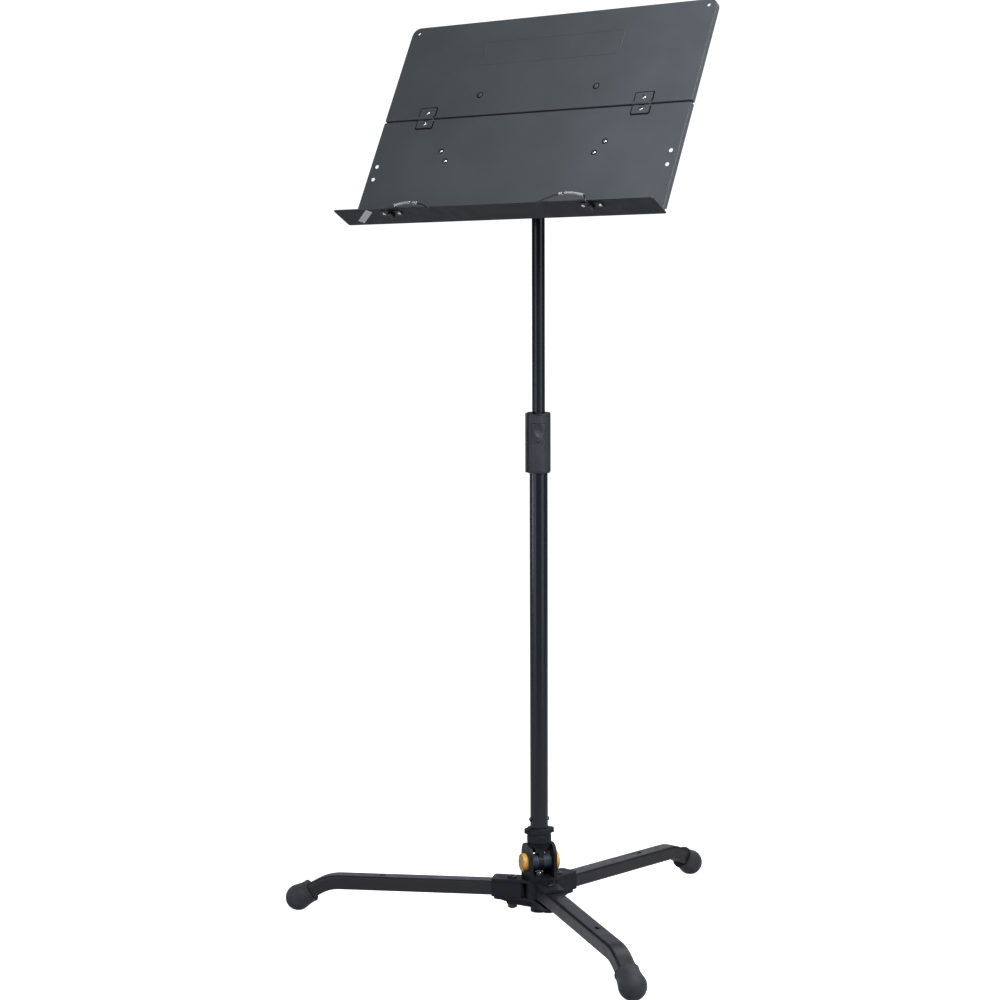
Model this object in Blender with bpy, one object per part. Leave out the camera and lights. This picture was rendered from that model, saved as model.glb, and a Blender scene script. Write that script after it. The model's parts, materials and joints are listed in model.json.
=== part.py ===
"""Folding music stand: a desk of two hinged panels on a telescopic mast and a three-legged base.

Metres, +Z up. The origin is on the floor, at the centre of the footprint. The desk faces -Y. The front
leg is fixed to the hub, the other two swivel beside it, and the mast folds down over it.
"""

import math

import bmesh
import bpy
from mathutils import Matrix, Vector

GAP = 0.0003  # clearance between touching pieces

# Legs. Each runs out from the mast axis along its heading, in degrees from +X.
HEADINGS = {"left": 202.0, "rear": 82.0, "front": -38.0}
LEG_WIDTH = 0.0245
LEG_HEIGHT = 0.0205
LEG_CORNER = 0.0035
LEG_WALL = 0.0018
LEG_START = 0.023
LEG_LEVEL_END = 0.075
LEG_Z = 0.0493  # centre line of the level stretch in the hub
LEG_BEND_AT = 0.309
LEG_BEND_Z = 0.0448
LEG_BEND_RADIUS = 0.065
LEG_PIVOT = 0.039  # leg bolts, from the mast axis
LEG_END_DEPTH = 0.004  # leg's end, past the centre of its foot
FOOT_CENTRE = 0.357
FOOT_RADIUS = 0.0187
FOOT_FLAT = 0.0012  # depth of the flat worn under each foot
FOOT_BACK = 0.024  # foot's open end, behind its centre
FOOT_NECK = 0.87  # of the foot's radius, where it grips the leg

# Hub, from the floor up.
BOSS_BOTTOM = 0.0175
BOSS_RADIUS = 0.0125
BOSS_RECESS = (0.0083, 0.0245)  # radius, and height of its roof
HUB_BOLT_HEAD = (0.0065, 0.0180, 0.0242)  # radius, low, high
LEG_NUT = (0.0208, 0.0262)
PAD_RADIUS = 0.0085
PAD_BOTTOM = 0.0265
LOWER_PLATE_TOP = 0.0376
LOWER_PLATE_THICKNESS = 0.0036
UPPER_PLATE = (0.0600, 0.0640)
ARM_LENGTH = 0.067
UPPER_ARM_HALF = 0.0148
LOWER_ARM_HALF = 0.0130
ARM_FILLET = 0.030  # curve in each valley between two arms
CORE_RADIUS = 0.0200  # core between the plates
LEG_CHEEK = 0.0015  # thickness of the side plates on a swivelling leg
LEG_SWEEP = 0.0216  # radius kept free round each leg bolt, for the leg's inner end
HUB_NUT = 0.0055  # height of the nut on the fork's base
WASHER = 0.0008

# Fold joint: the mast's tongue turns between two ears, on a pin across the front leg's heading.
FOLD_Z = 0.0890
EAR_INNER = 0.0155
EAR_OUTER = 0.0200
EAR_HALF_DEPTH = 0.0200
EAR_TOP = 0.0270
FORK_BASE = 0.0042
FORK_WALL = 0.0035  # wall between the ears, behind the mast's tongue
FORK_WALL_TOP = -0.0100  # from the fold axis
PIN_RADIUS = 0.0040
TONGUE_HALF = 0.0037
DRUM_RADIUS = 0.0110
BUTTON_RADIUS = 0.0130
BUTTON_FACE = 0.0272
BUTTON_WALL = 0.0024
BUTTON_ROOF = 0.0020
BUTTON_RECESS = 0.0023  # depth of the ear's seat round a button

# Mast.
SOCKET_BOTTOM = 0.0279  # above the fold axis
SOCKET_RADIUS = 0.0173
COLLAR = (0.1295, 0.1380)
LUG_REACH = 0.0216
OUTER_TUBE_RADIUS = 0.0127
INNER_TUBE_RADIUS = 0.0090
TUBE_WALL = 0.0014
COLLAR_SCREW_Z = 0.1500
SPIGOT_RADIUS = 0.0109
SPIGOT_LENGTH = 0.022
SMALL_HOLE = 0.0019
CLUTCH = (0.641, 0.726)
CLUTCH_RADIUS = 0.0168
CLUTCH_SHELF = (0.668, 0.671)
CLUTCH_CAVITY = 0.0139
CLUTCH_TURN = -19.0  # from the way the mast folds to the side the lever is on, in degrees
LEVER = (0.6745, 0.7105)
LEVER_HALF_WIDTH = 0.0095
LEVER_NECK_TOP = 0.6845
LEVER_NECK_HALF = 0.0055
LEVER_PIN_X = 0.0138
LEVER_PIN_Z = 0.6800
LEVER_PIN_RADIUS = 0.0010
LEVER_INNER = 0.0136  # flat inner face of the pad, from the mast axis
LEVER_TONGUE = 0.0114  # tip of its tongue
WINDOW_GAP = 0.0004
LOCK_PLATE_Z = 0.6930
LOCK_PLATE_THICKNESS = 0.0024
LOCK_PLATE_HINGE = 0.0132  # behind the mast axis
LOCK_PLATE_FRONT = 0.0118
CLUTCH_SPRING_RADIUS = 0.0101
SPRING_WIRE = 0.0005
BUSH = (0.7120, 0.7215)
INNER_TUBE = (0.4663, 1.0457)
FOOT_BUSH = (0.462, 0.484)

# Desk. Its own frame has +Z up the panel and -Y towards the player, from the tilt axis.
TILT_Z = 1.070
TILT = 27.5  # lean from upright, in degrees
FACE = -0.0475
SHEET = 0.0012
BEND = -0.1156
DESK_WIDTH = 0.500
LOWER_HEIGHT = 0.1667
UPPER_START = 0.1673
UPPER_END = 0.3258
RIM = 0.0080
DESK_CORNER = 0.0130
TRAY_DEPTH = 0.040
TRAY_WIDTH = 0.513
EDGE_HOLES = ((0.2385, 0.0925), (0.2385, 0.0717))
EDGE_HOLE_RADIUS = 0.0028
CORNER_HOLE = (0.2376, 0.3160)
CORNER_HOLE_RADIUS = 0.0025
BRACKET_RIVETS = ((0.1333, 0.1125), (0.1212, 0.0960))
RAIL_RIVET = (0.0950, 0.2010)
RIVET_RADIUS = 0.0021
HINGE_X = 0.1760
HINGE_HALF = 0.0130
HINGE_AXIS = (-0.0502, 0.1670)  # desk-frame y, and height above the bend
HINGE_RIVET_RADIUS = 0.0016
HINGE_RIVETS = {"lower": -0.0080, "upper": 0.0100}  # from the hinge axis
TILT_BORE = 0.0033
TILT_NUT = (0.0103, 0.0155)  # beyond the left ear, from the desk's centre line
RETAINER_X = 0.1610
RETAINER_LENGTH = 0.0735
RETAINER_CREST = 0.0370  # from the pivot to the top of the arch
RETAINER_RISE = 0.0147
RETAINER_CURVE = 7.0  # fall per square metre from the crest
RETAINER_WIRE = 0.0011


def mast_place():
    """The mast axis on the floor, with the origin at the centre of the three feet's footprint."""
    across = [math.cos(math.radians(heading)) for heading in HEADINGS.values()]
    along = [math.sin(math.radians(heading)) for heading in HEADINGS.values()]
    return Vector((min(across) + max(across), min(along) + max(along), 0)) * -FOOT_CENTRE / 2


def clear_scene():
    for thing in list(bpy.data.objects):
        bpy.data.objects.remove(thing, do_unlink=True)


# Materials


def paint(name, colour, roughness, metallic=0.0):
    made = bpy.data.materials.new(name)
    made.use_nodes = True
    shader = made.node_tree.nodes["Principled BSDF"]
    shader.inputs["Base Color"].default_value = (*colour, 1.0)
    shader.inputs["Roughness"].default_value = roughness
    shader.inputs["Metallic"].default_value = metallic
    made.diffuse_color = (*colour, 1.0)
    return made


def make_materials():
    return {
        "desk": paint("desk_powder_coat", (0.085, 0.092, 0.098), 0.62, 0.2),
        "tube": paint("mast_gloss_paint", (0.020, 0.021, 0.026), 0.30, 0.3),
        "leg": paint("leg_satin_paint", (0.024, 0.025, 0.030), 0.40, 0.3),
        "casting": paint("hub_casting_paint", (0.016, 0.016, 0.019), 0.50, 0.3),
        "plastic": paint("black_nylon", (0.022, 0.025, 0.033), 0.48),
        "rubber": paint("foot_rubber", (0.020, 0.021, 0.025), 0.75),
        "yellow": paint("button_yellow", (0.72, 0.40, 0.075), 0.38),
        "steel": paint("bright_zinc_steel", (0.70, 0.70, 0.69), 0.28, 1.0),
        "dark_steel": paint("black_oxide_steel", (0.05, 0.05, 0.055), 0.38, 0.9),
        "washer": paint("white_nylon", (0.72, 0.72, 0.68), 0.55),
    }


# Outlines and solids


def arc(centre_x, centre_y, radius, start, end, steps):
    """Points along an arc, both ends included, for angles in degrees."""
    points = []
    for step in range(steps + 1):
        angle = math.radians(start + (end - start) * step / steps)
        points.append((centre_x + radius * math.cos(angle), centre_y + radius * math.sin(angle)))
    return points


def circle(radius, steps=20):
    return arc(0, 0, radius, 0, 360 * (steps - 1) / steps, steps - 1)


def rounded_rectangle(width, height, radius, steps=2):
    across = width / 2 - radius
    up = height / 2 - radius
    outline = []
    for turn, (sign_x, sign_y) in enumerate(((1, 1), (-1, 1), (-1, -1), (1, -1))):
        outline += arc(sign_x * across, sign_y * up, radius, 90 * turn, 90 * turn + 90, steps)
    return outline


def three_arms(half_width, length, steps=6):
    """Outline of a plate with one round-ended arm along each leg, and a curve in each valley."""
    outline = []
    reach = (half_width + ARM_FILLET) / math.sin(math.radians(60))
    for heading in sorted(HEADINGS.values()):
        valley = math.radians(heading - 60)
        centre = (reach * math.cos(valley), reach * math.sin(valley))
        outline += arc(*centre, ARM_FILLET, heading + 150, heading + 90, steps - 2)
        angle = math.radians(heading)
        tip_x = (length - half_width) * math.cos(angle)
        tip_y = (length - half_width) * math.sin(angle)
        outline += arc(tip_x, tip_y, half_width, heading - 90, heading + 90, steps)
    return outline


def prism(outline, low, high):
    """The outline, drawn in XY, as a solid from z = low to z = high."""
    shape = bmesh.new()
    base = [shape.verts.new((x, y, low)) for x, y in outline]
    shape.faces.new(base)
    extruded = bmesh.ops.extrude_face_region(shape, geom=list(shape.faces))
    lifted = [item for item in extruded["geom"] if isinstance(item, bmesh.types.BMVert)]
    bmesh.ops.translate(shape, vec=(0, 0, high - low), verts=lifted)
    return shape


def block(x_range, y_range, z_range):
    left, right = x_range
    front, back = y_range
    return prism(((left, front), (right, front), (right, back), (left, back)), *z_range)


def turned(profile, steps=20):
    """A solid turned about Z from (radius, z) points. It is a ring unless both ends lie on the axis."""
    shape = bmesh.new()
    rings = []
    for radius, z in profile:
        if radius < 1e-9:
            rings.append([shape.verts.new((0, 0, z))] * steps)
            continue
        rings.append([shape.verts.new((x, y, z)) for x, y in circle(radius, steps)])
    pairs = list(zip(rings, rings[1:]))
    if profile[0][0] > 1e-9:
        pairs.append((rings[-1], rings[0]))
    for first, second in pairs:
        for step in range(steps):
            following = (step + 1) % steps
            corners = [first[step], first[following], second[following], second[step]]
            corners = list(dict.fromkeys(corners))
            if len(corners) > 2:
                shape.faces.new(corners)
    return shape


def tube(outer, inner, low, high, steps=20):
    return turned([(outer, low), (outer, high), (inner, high), (inner, low)], steps)


def hexagon(across_flats, low, high):
    return prism(circle(across_flats / 2 / math.cos(math.radians(30)), 6), low, high)


def rounded_path(points, radius, degrees_per_step=8):
    """A path of 2D points with a curve at each inner corner."""
    path = [Vector(points[0])]
    for before, corner, after in zip(points, points[1:], points[2:]):
        corner = Vector(corner)
        arriving = (corner - Vector(before)).normalized()
        leaving = (Vector(after) - corner).normalized()
        turn = arriving.angle(leaving)
        if turn < 1e-4:
            continue
        reach = radius * math.tan(turn / 2)
        steps = max(1, round(math.degrees(turn) / degrees_per_step))
        start = corner - arriving * reach
        end = corner + leaving * reach
        for step in range(steps + 1):
            part = step / steps
            # A quadratic through the corner's two tangent points stays close to the arc.
            path.append(start * (1 - part) ** 2 + corner * 2 * part * (1 - part) + end * part**2)
    path.append(Vector(points[-1]))
    return path


def swept(section, path, inner_section=None):
    """A section of (side, up) points carried along a path in the XZ plane, hollow if it has an inner one."""
    shape = bmesh.new()

    def ring(outline, index):
        ahead = path[min(index + 1, len(path) - 1)]
        behind = path[max(index - 1, 0)]
        along = (ahead - behind).normalized()
        here = path[index]
        return [
            shape.verts.new((here.x - along.y * up, side, here.y + along.x * up))
            for side, up in outline
        ]

    def walls(rings):
        for first, second in zip(rings, rings[1:]):
            for step in range(len(first)):
                following = (step + 1) % len(first)
                shape.faces.new((first[step], first[following], second[following], second[step]))

    outer = [ring(section, index) for index in range(len(path))]
    walls(outer)
    if inner_section is None:
        shape.faces.new(outer[0])
        shape.faces.new(outer[-1])
        return shape
    inner = [ring(inner_section, index) for index in range(len(path))]
    walls(inner)
    walls([outer[0], inner[0]])
    walls([outer[-1], inner[-1]])
    return shape


ALONG_X = Matrix.Rotation(math.radians(90), 4, "Y")  # turns +Z to +X
ALONG_Y = Matrix.Rotation(math.radians(-90), 4, "X")  # turns +Z to +Y


def shifted(x=0.0, y=0.0, z=0.0):
    return Matrix.Translation((x, y, z))


# Objects


def pivot(name, parent=None, place=Matrix()):
    """An empty on a joint's axis, which carries the pieces that move about it."""
    empty = bpy.data.objects.new(name, None)
    bpy.context.scene.collection.objects.link(empty)
    empty.empty_display_size = 0.03
    empty.parent = parent
    empty.matrix_local = place
    return empty


def piece(name, shape, material, parent, place=Matrix(), smooth=40):
    bmesh.ops.recalc_face_normals(shape, faces=shape.faces)
    mesh = bpy.data.meshes.new(name)
    shape.to_mesh(mesh)
    shape.free()
    mesh.shade_smooth()
    mesh.set_sharp_from_angle(angle=math.radians(smooth))
    made = bpy.data.objects.new(name, mesh)
    made.data.materials.append(material)
    bpy.context.scene.collection.objects.link(made)
    made.parent = parent
    made.matrix_local = place
    return made


def combine(target, shape, operation, place=Matrix()):
    """Adds a shape to the target, or cuts it away, by a Boolean with a hidden helper."""
    name = f"{target.name}_helper_{len(target.modifiers)}"
    helper = piece(name, shape, target.active_material, target, place)
    helper.hide_render = True
    helper.display_type = "WIRE"
    boolean = target.modifiers.new(f"{operation.lower()}_{len(target.modifiers)}", "BOOLEAN")
    boolean.operation = operation
    boolean.object = helper
    boolean.solver = "EXACT"
    return target


def add(target, shape, place=Matrix()):
    return combine(target, shape, "UNION", place)


def cut(target, shape, place=Matrix()):
    return combine(target, shape, "DIFFERENCE", place)


def wire(name, points, radius, material, parent, sides=1):
    """A bent wire along the points."""
    curve = bpy.data.curves.new(name, "CURVE")
    curve.dimensions = "3D"
    curve.bevel_depth = radius
    curve.bevel_resolution = sides
    curve.use_fill_caps = True
    spline = curve.splines.new("POLY")
    spline.points.add(len(points) - 1)
    for point, place in zip(spline.points, points):
        point.co = (*place, 1.0)
    curve.materials.append(material)
    made = bpy.data.objects.new(name, curve)
    bpy.context.scene.collection.objects.link(made)
    made.parent = parent
    return made


def coil_points(radius, low, high, turns, steps=10):
    """Points along a compression spring about Z."""
    points = []
    for step in range(turns * steps + 1):
        angle = 2 * math.pi * step / steps
        z = low + (high - low) * step / (turns * steps)
        points.append((radius * math.cos(angle), radius * math.sin(angle), z))
    return points


def screw_shape(head_radius, head_height, shank_radius, length):
    """A dome-headed screw: head above z = 0, shank below it."""
    profile = [(0, -length), (shank_radius, -length), (shank_radius, 0), (head_radius, 0)]
    profile += [(head_radius, head_height * 0.45), (head_radius * 0.75, head_height * 0.85)]
    profile += [(0, head_height)]
    return turned(profile, 12)


# Base


def leg_path():
    """Centre line of a leg in its own XZ plane, x from the mast axis, and the direction of its end."""
    centre_z = FOOT_RADIUS - FOOT_FLAT
    bend = Vector((LEG_BEND_AT, LEG_BEND_Z))
    down = (Vector((FOOT_CENTRE, centre_z)) - bend).normalized()
    end = Vector((FOOT_CENTRE, centre_z)) + down * LEG_END_DEPTH
    corners = [(LEG_START, LEG_Z), (LEG_LEVEL_END, LEG_Z), (bend.x, bend.y), (end.x, end.y)]
    return rounded_path(corners, LEG_BEND_RADIUS), down


def foot_shape():
    """A rubber boot about Z: its centre at the origin, its round end up, its open end down."""
    profile = [(0, FOOT_RADIUS)]
    profile += [(r, z) for z, r in arc(0, 0, FOOT_RADIUS, 18, 108, 5)]
    neck = FOOT_RADIUS * FOOT_NECK
    edge = 0.0008
    profile += [(neck, -FOOT_BACK * 0.6), (neck, -FOOT_BACK + edge)]
    profile += [(neck - edge, -FOOT_BACK), (0, -FOOT_BACK)]
    return turned(profile)


def make_leg(name, parent, start, materials):
    """A bent square tube and its rubber foot. start is the mast axis in the parent's frame. A leg that
    swivels has a side plate on each side of its inner end."""
    path, down = leg_path()
    inner = rounded_rectangle(LEG_WIDTH - 2 * LEG_WALL, LEG_HEIGHT - 2 * LEG_WALL, LEG_CORNER - LEG_WALL)
    outer = rounded_rectangle(LEG_WIDTH, LEG_HEIGHT, LEG_CORNER)
    leg = piece(f"{name}_leg", swept(outer, path, inner), materials["leg"], parent, start)
    if name != "front":
        side = LEG_WIDTH / 2
        for low, high in ((-side - LEG_CHEEK, 0.0012 - side), (side - 0.0012, side + LEG_CHEEK)):
            cheek = block((LEG_START + 0.0005, ARM_LENGTH), (low, high), (LEG_Z - 0.0085, LEG_Z + 0.0085))
            add(leg, cheek)
    cut(leg, tube_hole(PIN_RADIUS + GAP), shifted(LEG_PIVOT))
    centre_z = FOOT_RADIUS - FOOT_FLAT
    pitch = math.atan2(down.x, down.y)
    place = start @ shifted(FOOT_CENTRE, 0, centre_z) @ Matrix.Rotation(pitch, 4, "Y")
    foot = piece(f"{name}_foot", foot_shape(), materials["rubber"], parent, place)
    socket = rounded_rectangle(LEG_HEIGHT + 2 * GAP, LEG_WIDTH + 2 * GAP, LEG_CORNER + GAP)
    cut(foot, prism(socket, -2 * FOOT_BACK, LEG_END_DEPTH + GAP))
    below_floor = block((0, 2 * FOOT_CENTRE), (-0.1, 0.1), (-0.05, 0))
    cut(foot, below_floor, place.inverted() @ start)


def tube_hole(radius, steps=16):
    """A tall cutter about Z."""
    return turned([(0, -0.2), (radius, -0.2), (radius, 0.2), (0, 0.2)], steps)


def make_hub(base, materials):
    """Two three-armed plates with the legs between them: the lower one cast with a core, ribs and pads."""
    plate = prism(three_arms(UPPER_ARM_HALF, ARM_LENGTH), *UPPER_PLATE)
    upper = piece("hub_top_plate", plate, materials["casting"], base)
    cut(upper, tube_hole(PIN_RADIUS + GAP))
    edge = 0.002
    core_low = LOWER_PLATE_TOP - 0.001
    core_high = UPPER_PLATE[0] - GAP
    profile = [(0, BOSS_BOTTOM), (BOSS_RADIUS - edge, BOSS_BOTTOM), (BOSS_RADIUS, BOSS_BOTTOM + edge)]
    profile += [(BOSS_RADIUS, core_low), (CORE_RADIUS, core_low), (CORE_RADIUS, core_high), (0, core_high)]
    lower = piece("hub_casting", turned(profile), materials["casting"], base)
    plate_low = LOWER_PLATE_TOP - LOWER_PLATE_THICKNESS
    add(lower, prism(three_arms(LOWER_ARM_HALF, ARM_LENGTH - 0.002), plate_low, LOWER_PLATE_TOP - 0.0001))
    upright = Matrix.Rotation(math.radians(90), 4, "X")
    rib_top = plate_low + 0.0005
    rib_outline = [(0.008, 0.024), (0.030, PAD_BOTTOM), (0.061, rib_top), (0.008, rib_top)]
    for side, heading in HEADINGS.items():
        turn = Matrix.Rotation(math.radians(heading), 4, "Z")
        at_bolt = turn @ shifted(LEG_PIVOT)
        if side != "front":
            low, high = LOWER_PLATE_TOP, UPPER_PLATE[0]
            cut(lower, turned([(0, low), (LEG_SWEEP, low), (LEG_SWEEP, high), (0, high)], 24), at_bolt)
        add(lower, prism(rib_outline, -0.009, 0.009), turn @ upright)
        pad = [(0, PAD_BOTTOM), (PAD_RADIUS, PAD_BOTTOM), (PAD_RADIUS, rib_top + 0.001), (0, rib_top + 0.001)]
        add(lower, turned(pad, 16), at_bolt)
        cut(lower, tube_hole(PIN_RADIUS + GAP), at_bolt)
        cut(upper, tube_hole(PIN_RADIUS + GAP), at_bolt)
    cut(lower, tube_hole(PIN_RADIUS + GAP))
    radius, roof = BOSS_RECESS
    cut(lower, turned([(0, 0), (radius, 0), (radius, roof), (0, roof)]))
    radius, low, high = HUB_BOLT_HEAD
    nut_low = UPPER_PLATE[1] + FORK_BASE + 2 * GAP
    top = nut_low + HUB_NUT + 0.0008
    bolt = [(0, low), (radius, low), (radius, high), (PIN_RADIUS, high), (PIN_RADIUS, top), (0, top)]
    piece("hub_bolt", turned(bolt), materials["dark_steel"], base)
    nut = piece("hub_nut", hexagon(0.0110, nut_low, nut_low + HUB_NUT), materials["steel"], base)
    cut(nut, tube_hole(PIN_RADIUS + GAP))
    for side, heading in HEADINGS.items():
        at_bolt = Matrix.Rotation(math.radians(heading), 4, "Z") @ shifted(LEG_PIVOT)
        head = UPPER_PLATE[1] + GAP
        end = PAD_BOTTOM + 0.001
        if side != "front":
            end = LEG_NUT[0] - 0.0013
            nut = piece(f"{side}_leg_nut", hexagon(0.0120, *LEG_NUT), materials["steel"], base, at_bolt)
            cut(nut, tube_hole(PIN_RADIUS + GAP))
        bolt = screw_shape(0.0070, 0.0024, PIN_RADIUS, head - end)
        piece(f"{side}_leg_bolt", bolt, materials["dark_steel"], base, at_bolt @ shifted(z=head))


def make_fork(fork, materials):
    """Two ears and a low rear wall on a base plate. The frame's +X is the way the mast folds, and its +Y
    the pin's axis."""
    floor_z = UPPER_PLATE[1] + GAP - FOLD_Z
    base_top = floor_z + FORK_BASE
    shape = block((-EAR_HALF_DEPTH, EAR_HALF_DEPTH), (-EAR_OUTER, EAR_OUTER), (floor_z, base_top))
    body = piece("hub_fork", shape, materials["casting"], fork)
    corner = 0.0165
    ear = [(-EAR_HALF_DEPTH, floor_z + 0.001), (EAR_HALF_DEPTH, floor_z + 0.001)]
    ear += arc(EAR_HALF_DEPTH - corner, EAR_TOP - corner, corner, 0, 90, 6)
    ear += arc(corner - EAR_HALF_DEPTH, EAR_TOP - corner, corner, 90, 180, 6)
    upright = Matrix.Rotation(math.radians(90), 4, "X")
    for side in (-1, 1):
        low, high = sorted((side * EAR_INNER, side * (EAR_OUTER - 0.0001)))
        add(body, prism(ear, -high, -low), upright)
    back = 0.0002 - EAR_HALF_DEPTH
    reach = EAR_INNER + 0.001
    add(body, block((back, back + FORK_WALL), (-reach, reach), (floor_z + 0.001, FORK_WALL_TOP)))
    for side in (-1, 1):
        seat = BUTTON_RADIUS + 0.0005
        recess = turned([(0, 0), (seat, 0), (seat, 0.01), (0, 0.01)], 24)
        place = Matrix.Rotation(math.radians(-90 * side), 4, "X") @ shifted(z=EAR_OUTER - BUTTON_RECESS)
        cut(body, recess, place)
    cut(body, tube_hole(PIN_RADIUS + GAP), ALONG_Y)
    cut(body, tube_hole(PIN_RADIUS + GAP))
    pin_end = EAR_OUTER + 0.0018
    pin = [(0, -pin_end), (PIN_RADIUS, -pin_end), (PIN_RADIUS, pin_end), (0, pin_end)]
    piece("fold_pin", turned(pin), materials["steel"], fork, ALONG_Y)
    for name, side in (("left", -1), ("right", 1)):
        outward = Matrix.Rotation(math.radians(-90 * side), 4, "X")
        drum = turned(
            [(DRUM_RADIUS, TONGUE_HALF + GAP), (DRUM_RADIUS, EAR_INNER - GAP)]
            + [(PIN_RADIUS + GAP, EAR_INNER - GAP), (PIN_RADIUS + GAP, TONGUE_HALF + GAP)],
            24,
        )
        piece(f"lock_drum_{name}", drum, materials["plastic"], fork, outward)
        low = EAR_OUTER - BUTTON_RECESS + GAP + SPRING_WIRE
        high = BUTTON_FACE - BUTTON_ROOF - GAP - SPRING_WIRE
        coil = coil_points(0.0062, low, high, 3)
        spring = wire(f"lock_spring_{name}", coil, SPRING_WIRE, materials["steel"], fork, 0)
        spring.matrix_local = outward


def make_button(name, side, button, materials):
    """A cup that covers the end of the pin and slides into its ear. The frame's +Z points outward."""
    rim = EAR_OUTER - 0.0001
    roof = BUTTON_FACE - BUTTON_ROOF
    inner = BUTTON_RADIUS - BUTTON_WALL
    edge = 0.0012
    profile = [(0, BUTTON_FACE), (BUTTON_RADIUS - edge, BUTTON_FACE), (BUTTON_RADIUS, BUTTON_FACE - edge)]
    profile += [(BUTTON_RADIUS, rim), (inner, rim), (inner, roof), (0, roof)]
    piece(f"lock_button_{name}", turned(profile, 24), materials["yellow"], button)


# Mast


def make_knuckle(mast, materials):
    """The mast's foot: a tongue on the fold pin, a web, a socket, a collar with two lugs and a spigot."""
    collar_low = COLLAR[0] - FOLD_Z
    collar_high = COLLAR[1] - FOLD_Z
    spigot_top = collar_high + SPIGOT_LENGTH
    edge = 0.001
    profile = [(0, SOCKET_BOTTOM), (SOCKET_RADIUS - edge, SOCKET_BOTTOM)]
    profile += [(SOCKET_RADIUS, SOCKET_BOTTOM + edge)]
    profile += [(SOCKET_RADIUS, collar_high - edge), (SOCKET_RADIUS - edge, collar_high)]
    profile += [(SPIGOT_RADIUS, collar_high), (SPIGOT_RADIUS, spigot_top), (0, spigot_top)]
    body = piece("mast_knuckle", turned(profile, 24), materials["casting"], mast)
    web_top = SOCKET_BOTTOM + 0.002
    shoulder = SOCKET_BOTTOM - 0.001
    waist = DRUM_RADIUS + 0.0015
    half_top = EAR_INNER - GAP
    web = [(-half_top, web_top), (-half_top, shoulder), (-TONGUE_HALF, waist), (-TONGUE_HALF, 0.0)]
    web += [(TONGUE_HALF, 0.0), (TONGUE_HALF, waist), (half_top, shoulder), (half_top, web_top)]
    web_half_depth = 0.0085
    facing = Matrix(((0, 0, 1, 0), (1, 0, 0, 0), (0, 1, 0, 0), (0, 0, 0, 1)))
    add(body, prism(web, -web_half_depth, web_half_depth), facing)
    tongue = [(0, -TONGUE_HALF), (DRUM_RADIUS, -TONGUE_HALF), (DRUM_RADIUS, TONGUE_HALF), (0, TONGUE_HALF)]
    add(body, turned(tongue, 24), ALONG_Y)
    lug = rounded_rectangle(2 * LUG_REACH, 0.0140, 0.0055)
    turn = Matrix.Rotation(math.radians(90), 4, "Z")
    add(body, prism(lug, collar_low + 0.0010, collar_high - 0.0012), turn)
    cut(body, tube_hole(PIN_RADIUS + GAP), ALONG_Y)
    cut(body, tube_hole(SMALL_HOLE, 12), shifted(z=COLLAR_SCREW_Z - FOLD_Z) @ ALONG_Y)


def make_outer_mast(mast, materials):
    low = COLLAR[1] + GAP - FOLD_Z
    high = CLUTCH_SHELF[0] - GAP - FOLD_Z
    outer = tube(OUTER_TUBE_RADIUS, OUTER_TUBE_RADIUS - TUBE_WALL, low, high, 24)
    body = piece("outer_tube", outer, materials["tube"], mast)
    cut(body, tube_hole(SMALL_HOLE, 12), shifted(z=COLLAR_SCREW_Z - FOLD_Z) @ ALONG_Y)
    for name, side in (("left", -1), ("right", 1)):
        place = shifted(z=COLLAR_SCREW_Z - FOLD_Z) @ Matrix.Rotation(math.radians(-90 * side), 4, "X")
        place = place @ shifted(z=OUTER_TUBE_RADIUS + GAP)
        screw = screw_shape(0.0030, 0.0019, 0.0015, 0.0060)
        piece(f"collar_screw_{name}", screw, materials["dark_steel"], mast, place)


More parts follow.
